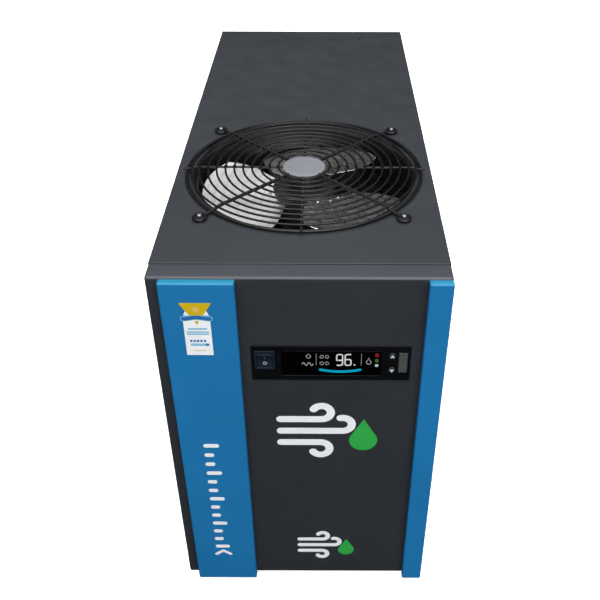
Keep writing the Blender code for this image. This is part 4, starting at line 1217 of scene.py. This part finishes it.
def make_condenser():
    """Coil block of thin fins on copper tubes."""
    lowest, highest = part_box("condenser_core")
    shape = bmesh.new()
    fins = 96
    for fin in range(fins):
        y = lowest.y + (highest.y - lowest.y) * (fin + 0.5) / fins
        add_cuboid(shape, (lowest.x, y - 0.0003, lowest.z), (highest.x, y + 0.0003, highest.z))
    piece("condenser_fins", to_mesh("fins", shape), "fin_aluminium", stands_for=("condenser_core",))
    routes = []
    rows, margin, centre = 9, 0.020, middle("condenser_core").x
    for row in range(rows):
        z = lowest.z + margin + row * (highest.z - lowest.z - 2 * margin) / (rows - 1)
        for x in (centre - 0.011, centre + 0.011):
            routes.append([(x, lowest.y, z), (x, highest.y, z)])
    piece("condenser_tubes", wires("condenser_tubes", routes, 0.0048), "copper")


def hexagon(across_flats):
    radius = across_flats / math.sqrt(3)
    return arc((0, 0), radius, 0, 300, 5)


def make_air_ports():
    """Brass couplings: chamfered hexagon, turned collar and a threaded bore."""
    for name in ("air_inlet", "air_outlet"):
        node = f"{name}_coupling"
        start, end = low(node).y, high(node).y
        place = (middle(node).x, 0, middle(node).z)
        barrel, bore = 0.0265, 0.0195
        profile = [(barrel, start), (barrel, end - 0.0015), (barrel - 0.0015, end), (bore + 0.0022, end)]
        pitch, turns = 0.0023, 9
        for turn in range(turns):
            y = end - 0.0022 - turn * pitch
            profile += [(bore, y), (bore + 0.0012, y - pitch / 2)]
        profile += [(bore, REAR - 0.001), (bore, start)]
        # Laid on its side along +Y, a profile's height is the place along Y.
        mesh = turned(profile, place, 96, "Y")
        port = piece(f"{name}_port", mesh, "brass", stands_for=(node,))
        add_modifier(port, "WEIGHTED_NORMAL", keep_sharp=True)
        nut = prisms([[(place[0] + a, place[2] + b) for a, b in hexagon(0.065)]], end - 0.036, end - 0.010)
        hexed = piece(f"{name}_hexagon", nut, "brass")
        chamfer = (
            (0.055, end - 0.0085),
            (0.0325, end - 0.0085),
            (0.0380, end - 0.0135),
            (0.0380, end - 0.0325),
            (0.0325, end - 0.0375),
            (0.055, end - 0.0375),
        )
        cut(hexed, cylinder(barrel - 0.0005, end, end - 0.05, place, 96, "Y"))
        cut(hexed, turned(chamfer, place, 96, "Y"))
        soften_edges(hexed, 0.0006, 2)


def arrow_outline(x, z, way):
    """A flow arrow pointing down (into the machine's pipe) or up."""
    points = [
        (-0.004, -0.016),
        (0.004, -0.016),
        (0.004, 0.002),
        (0.010, 0.002),
        (0.0, 0.016),
        (-0.010, 0.002),
        (-0.004, 0.002),
    ]
    return [(x + a, z + b * way) for a, b in points]


def make_rear_labels():
    """Flow arrows above the ports and a blank rating plate with ruled lines."""
    for node, way in (("air_inlet_coupling", -1), ("air_outlet_coupling", 1)):
        place = middle(node)
        outline = arrow_outline(place.x, place.z + 0.062, way)
        piece(f"{node}_arrow", prisms([outline], REAR - 0.0001, REAR + 0.0003), "print_white", sharp=20)
    x, z = 0.110, FOOT + 0.300
    plate = prisms([rounded_outline(0.090, 0.060, 0.003, 6, (x, z))], REAR - 0.0001, REAR + 0.0005)
    piece("rating_plate", plate, "bright_steel")
    rows = []
    for row in range(6):
        shorter = 0.012 * (row % 3)
        centre = (x - shorter / 2, z + 0.020 - 0.008 * row)
        rows.append(rounded_outline(0.070 - shorter, 0.0016, 0.0007, 3, centre))
    piece("rating_plate_rules", prisms(rows, REAR + 0.0004, REAR + 0.0007), "label_grey", sharp=20)


COPPER_PIPES = (
    "air_inlet_pipe", "air_outlet_pipe", "capillary_tube", "discharge_pipe", "suction_pipe", "liquid_pipe"
)
# CAD nodes that are shown as they are, with a finer material and eased edges.
SHOWN_CAD_NODES = {
    "galvanised_steel": (
        "base_pan",
        "divider_panel",
        "exchanger_stand_front",
        "exchanger_stand_rear",
        "condenser_end_plate_front",
        "condenser_end_plate_rear",
        "electrical_box",
    ),
    "compressor_black": ("compressor_base_plate", "moisture_separator"),
    "black_plastic": ("compressor_terminal_cover", "contactor", "drain_tube", "power_cable_gland"),
    "copper": (*COPPER_PIPES, "filter_drier"),
    "brass": ("drain_shutoff_valve", "drain_solenoid_valve", "drain_outlet"),
    "board_green": ("control_board",),
    "foam_black": ("heat_exchanger",),
    "key_grey": ("run_capacitor",),
    "red_plastic": ("drain_valve_lever",),
}


def dress_cad_nodes():
    for finish_name, nodes in SHOWN_CAD_NODES.items():
        for node in nodes:
            obj = frame["nodes"][node]
            obj.data.materials.clear()
            obj.data.materials.append(MATERIALS[finish_name])
            add_modifier(obj, "WELD", merge_threshold=0.00001)
            if node in (*COPPER_PIPES, "drain_tube"):
                add_modifier(obj, "SUBSURF", levels=1, render_levels=1)
            else:
                soften_edges(obj, 0.0006, 2)


# ---------------------------------------------------------------- studio
def make_camera():
    """Looks down on the front from above head height, a little right of the middle."""
    data = bpy.data.cameras.new("camera")
    data.sensor_width = 36.0
    data.lens = 48.41
    data.shift_x = -0.0428
    camera = placed("camera", data)
    camera.location = (0.0353, FRONT - 0.8708, TOP + 0.6068)
    tilt = Matrix.Rotation(math.radians(90 - 36.44), 4, "X")
    roll = Matrix.Rotation(math.radians(0.2), 4, "Z")
    camera.rotation_euler = (tilt @ roll).to_euler()
    bpy.context.scene.camera = camera


def area_light(name, place, target, size, power):
    data = bpy.data.lights.new(name, "AREA")
    data.shape = "RECTANGLE"
    data.size, data.size_y = size
    data.energy = power
    light = placed(name, data)
    light.location = place
    light.rotation_euler = (Vector(target) - Vector(place)).to_track_quat("-Z", "Y").to_euler()
    return light


def make_world():
    """A white room to the camera; as a light, a bright ceiling that fades to a dim horizon."""
    world = bpy.data.worlds.new("studio")
    bpy.context.scene.world = world
    world.use_nodes = True
    world.node_tree.nodes.clear()
    place = add_node(world, "ShaderNodeTexCoord")
    split = add_node(world, "ShaderNodeSeparateXYZ")
    ramp = add_node(world, "ShaderNodeValToRGB")
    link(world, place.outputs["Generated"], split.inputs["Vector"])
    link(world, split.outputs["Z"], ramp.inputs["Fac"])
    stops = ((0.0, 0.006), (0.55, 0.010), (0.63, 0.60), (0.71, 1.15), (1.0, 1.15))
    while len(ramp.color_ramp.elements) < len(stops):
        ramp.color_ramp.elements.new(0.5)
    for element, (position, level) in zip(ramp.color_ramp.elements, stops):
        element.position = position
        element.color = (level, level, level * 1.02, 1.0)
    background = add_node(world, "ShaderNodeBackground")
    link(world, ramp.outputs["Color"], background.inputs["Color"])
    output = add_node(world, "ShaderNodeOutputWorld")
    link(world, background.outputs["Background"], output.inputs["Surface"])


def add_stage(name, shape, made, unseen_by):
    """A floor or wall that the camera sees, and that these kinds of ray pass by."""
    obj = placed(name, to_mesh(name, shape))
    obj.data.materials.append(made)
    for ray in unseen_by:
        setattr(obj, f"visible_{ray}", False)


def make_studio():
    """A white floor and room, a large soft key from the front, and fills for the front, sides and rear."""
    make_world()
    area_light("key", (0.0, -3.4, 4.4), (0, -0.3, 0.45), (7.0, 5.2), 395)
    area_light("front_fill", (0.9, -2.6, 2.2), (0, -0.5, 0.6), (2.4, 1.8), 27)
    for side in (-1, 1):
        fill = area_light(f"rear_fill_{side}", (side * 2.9, 1.7, 0.9), (0, 0.1, 0.5), (2.0, 1.2), 120)
        fill.visible_glossy = False
    made = finish("pale_floor", (0.9, 0.9, 0.9), 0.9, mottle=0.01, patch=2.0)
    shader_of(made).inputs["Emission Color"].default_value = (1, 1, 1, 1)
    shader_of(made).inputs["Emission Strength"].default_value = 0.55
    floor, wall = bmesh.new(), bmesh.new()
    bmesh.ops.create_grid(floor, x_segments=1, y_segments=1, size=30.0)
    add_stage("floor", floor, made, ("diffuse", "glossy"))
    bmesh.ops.create_cone(wall, cap_ends=False, segments=96, radius1=14.0, radius2=14.0, depth=30.0)
    add_stage("room", wall, made, ("diffuse", "glossy", "shadow", "transmission"))


def main():
    make_camera()
    make_covers()
    make_trim_strips()
    make_cover_screws()
    make_feet()
    make_bezel()
    make_screen()
    make_keys()
    make_port_cover()
    make_switch()
    make_front_marks()
    make_badge()
    make_impeller()
    make_shroud()
    make_motor()
    make_guard()
    make_guard_screws()
    make_compressor()
    make_condenser()
    make_air_ports()
    make_rear_labels()
    dress_cad_nodes()
    make_studio()
    bpy.context.scene.view_settings.view_transform = "Standard"


main()
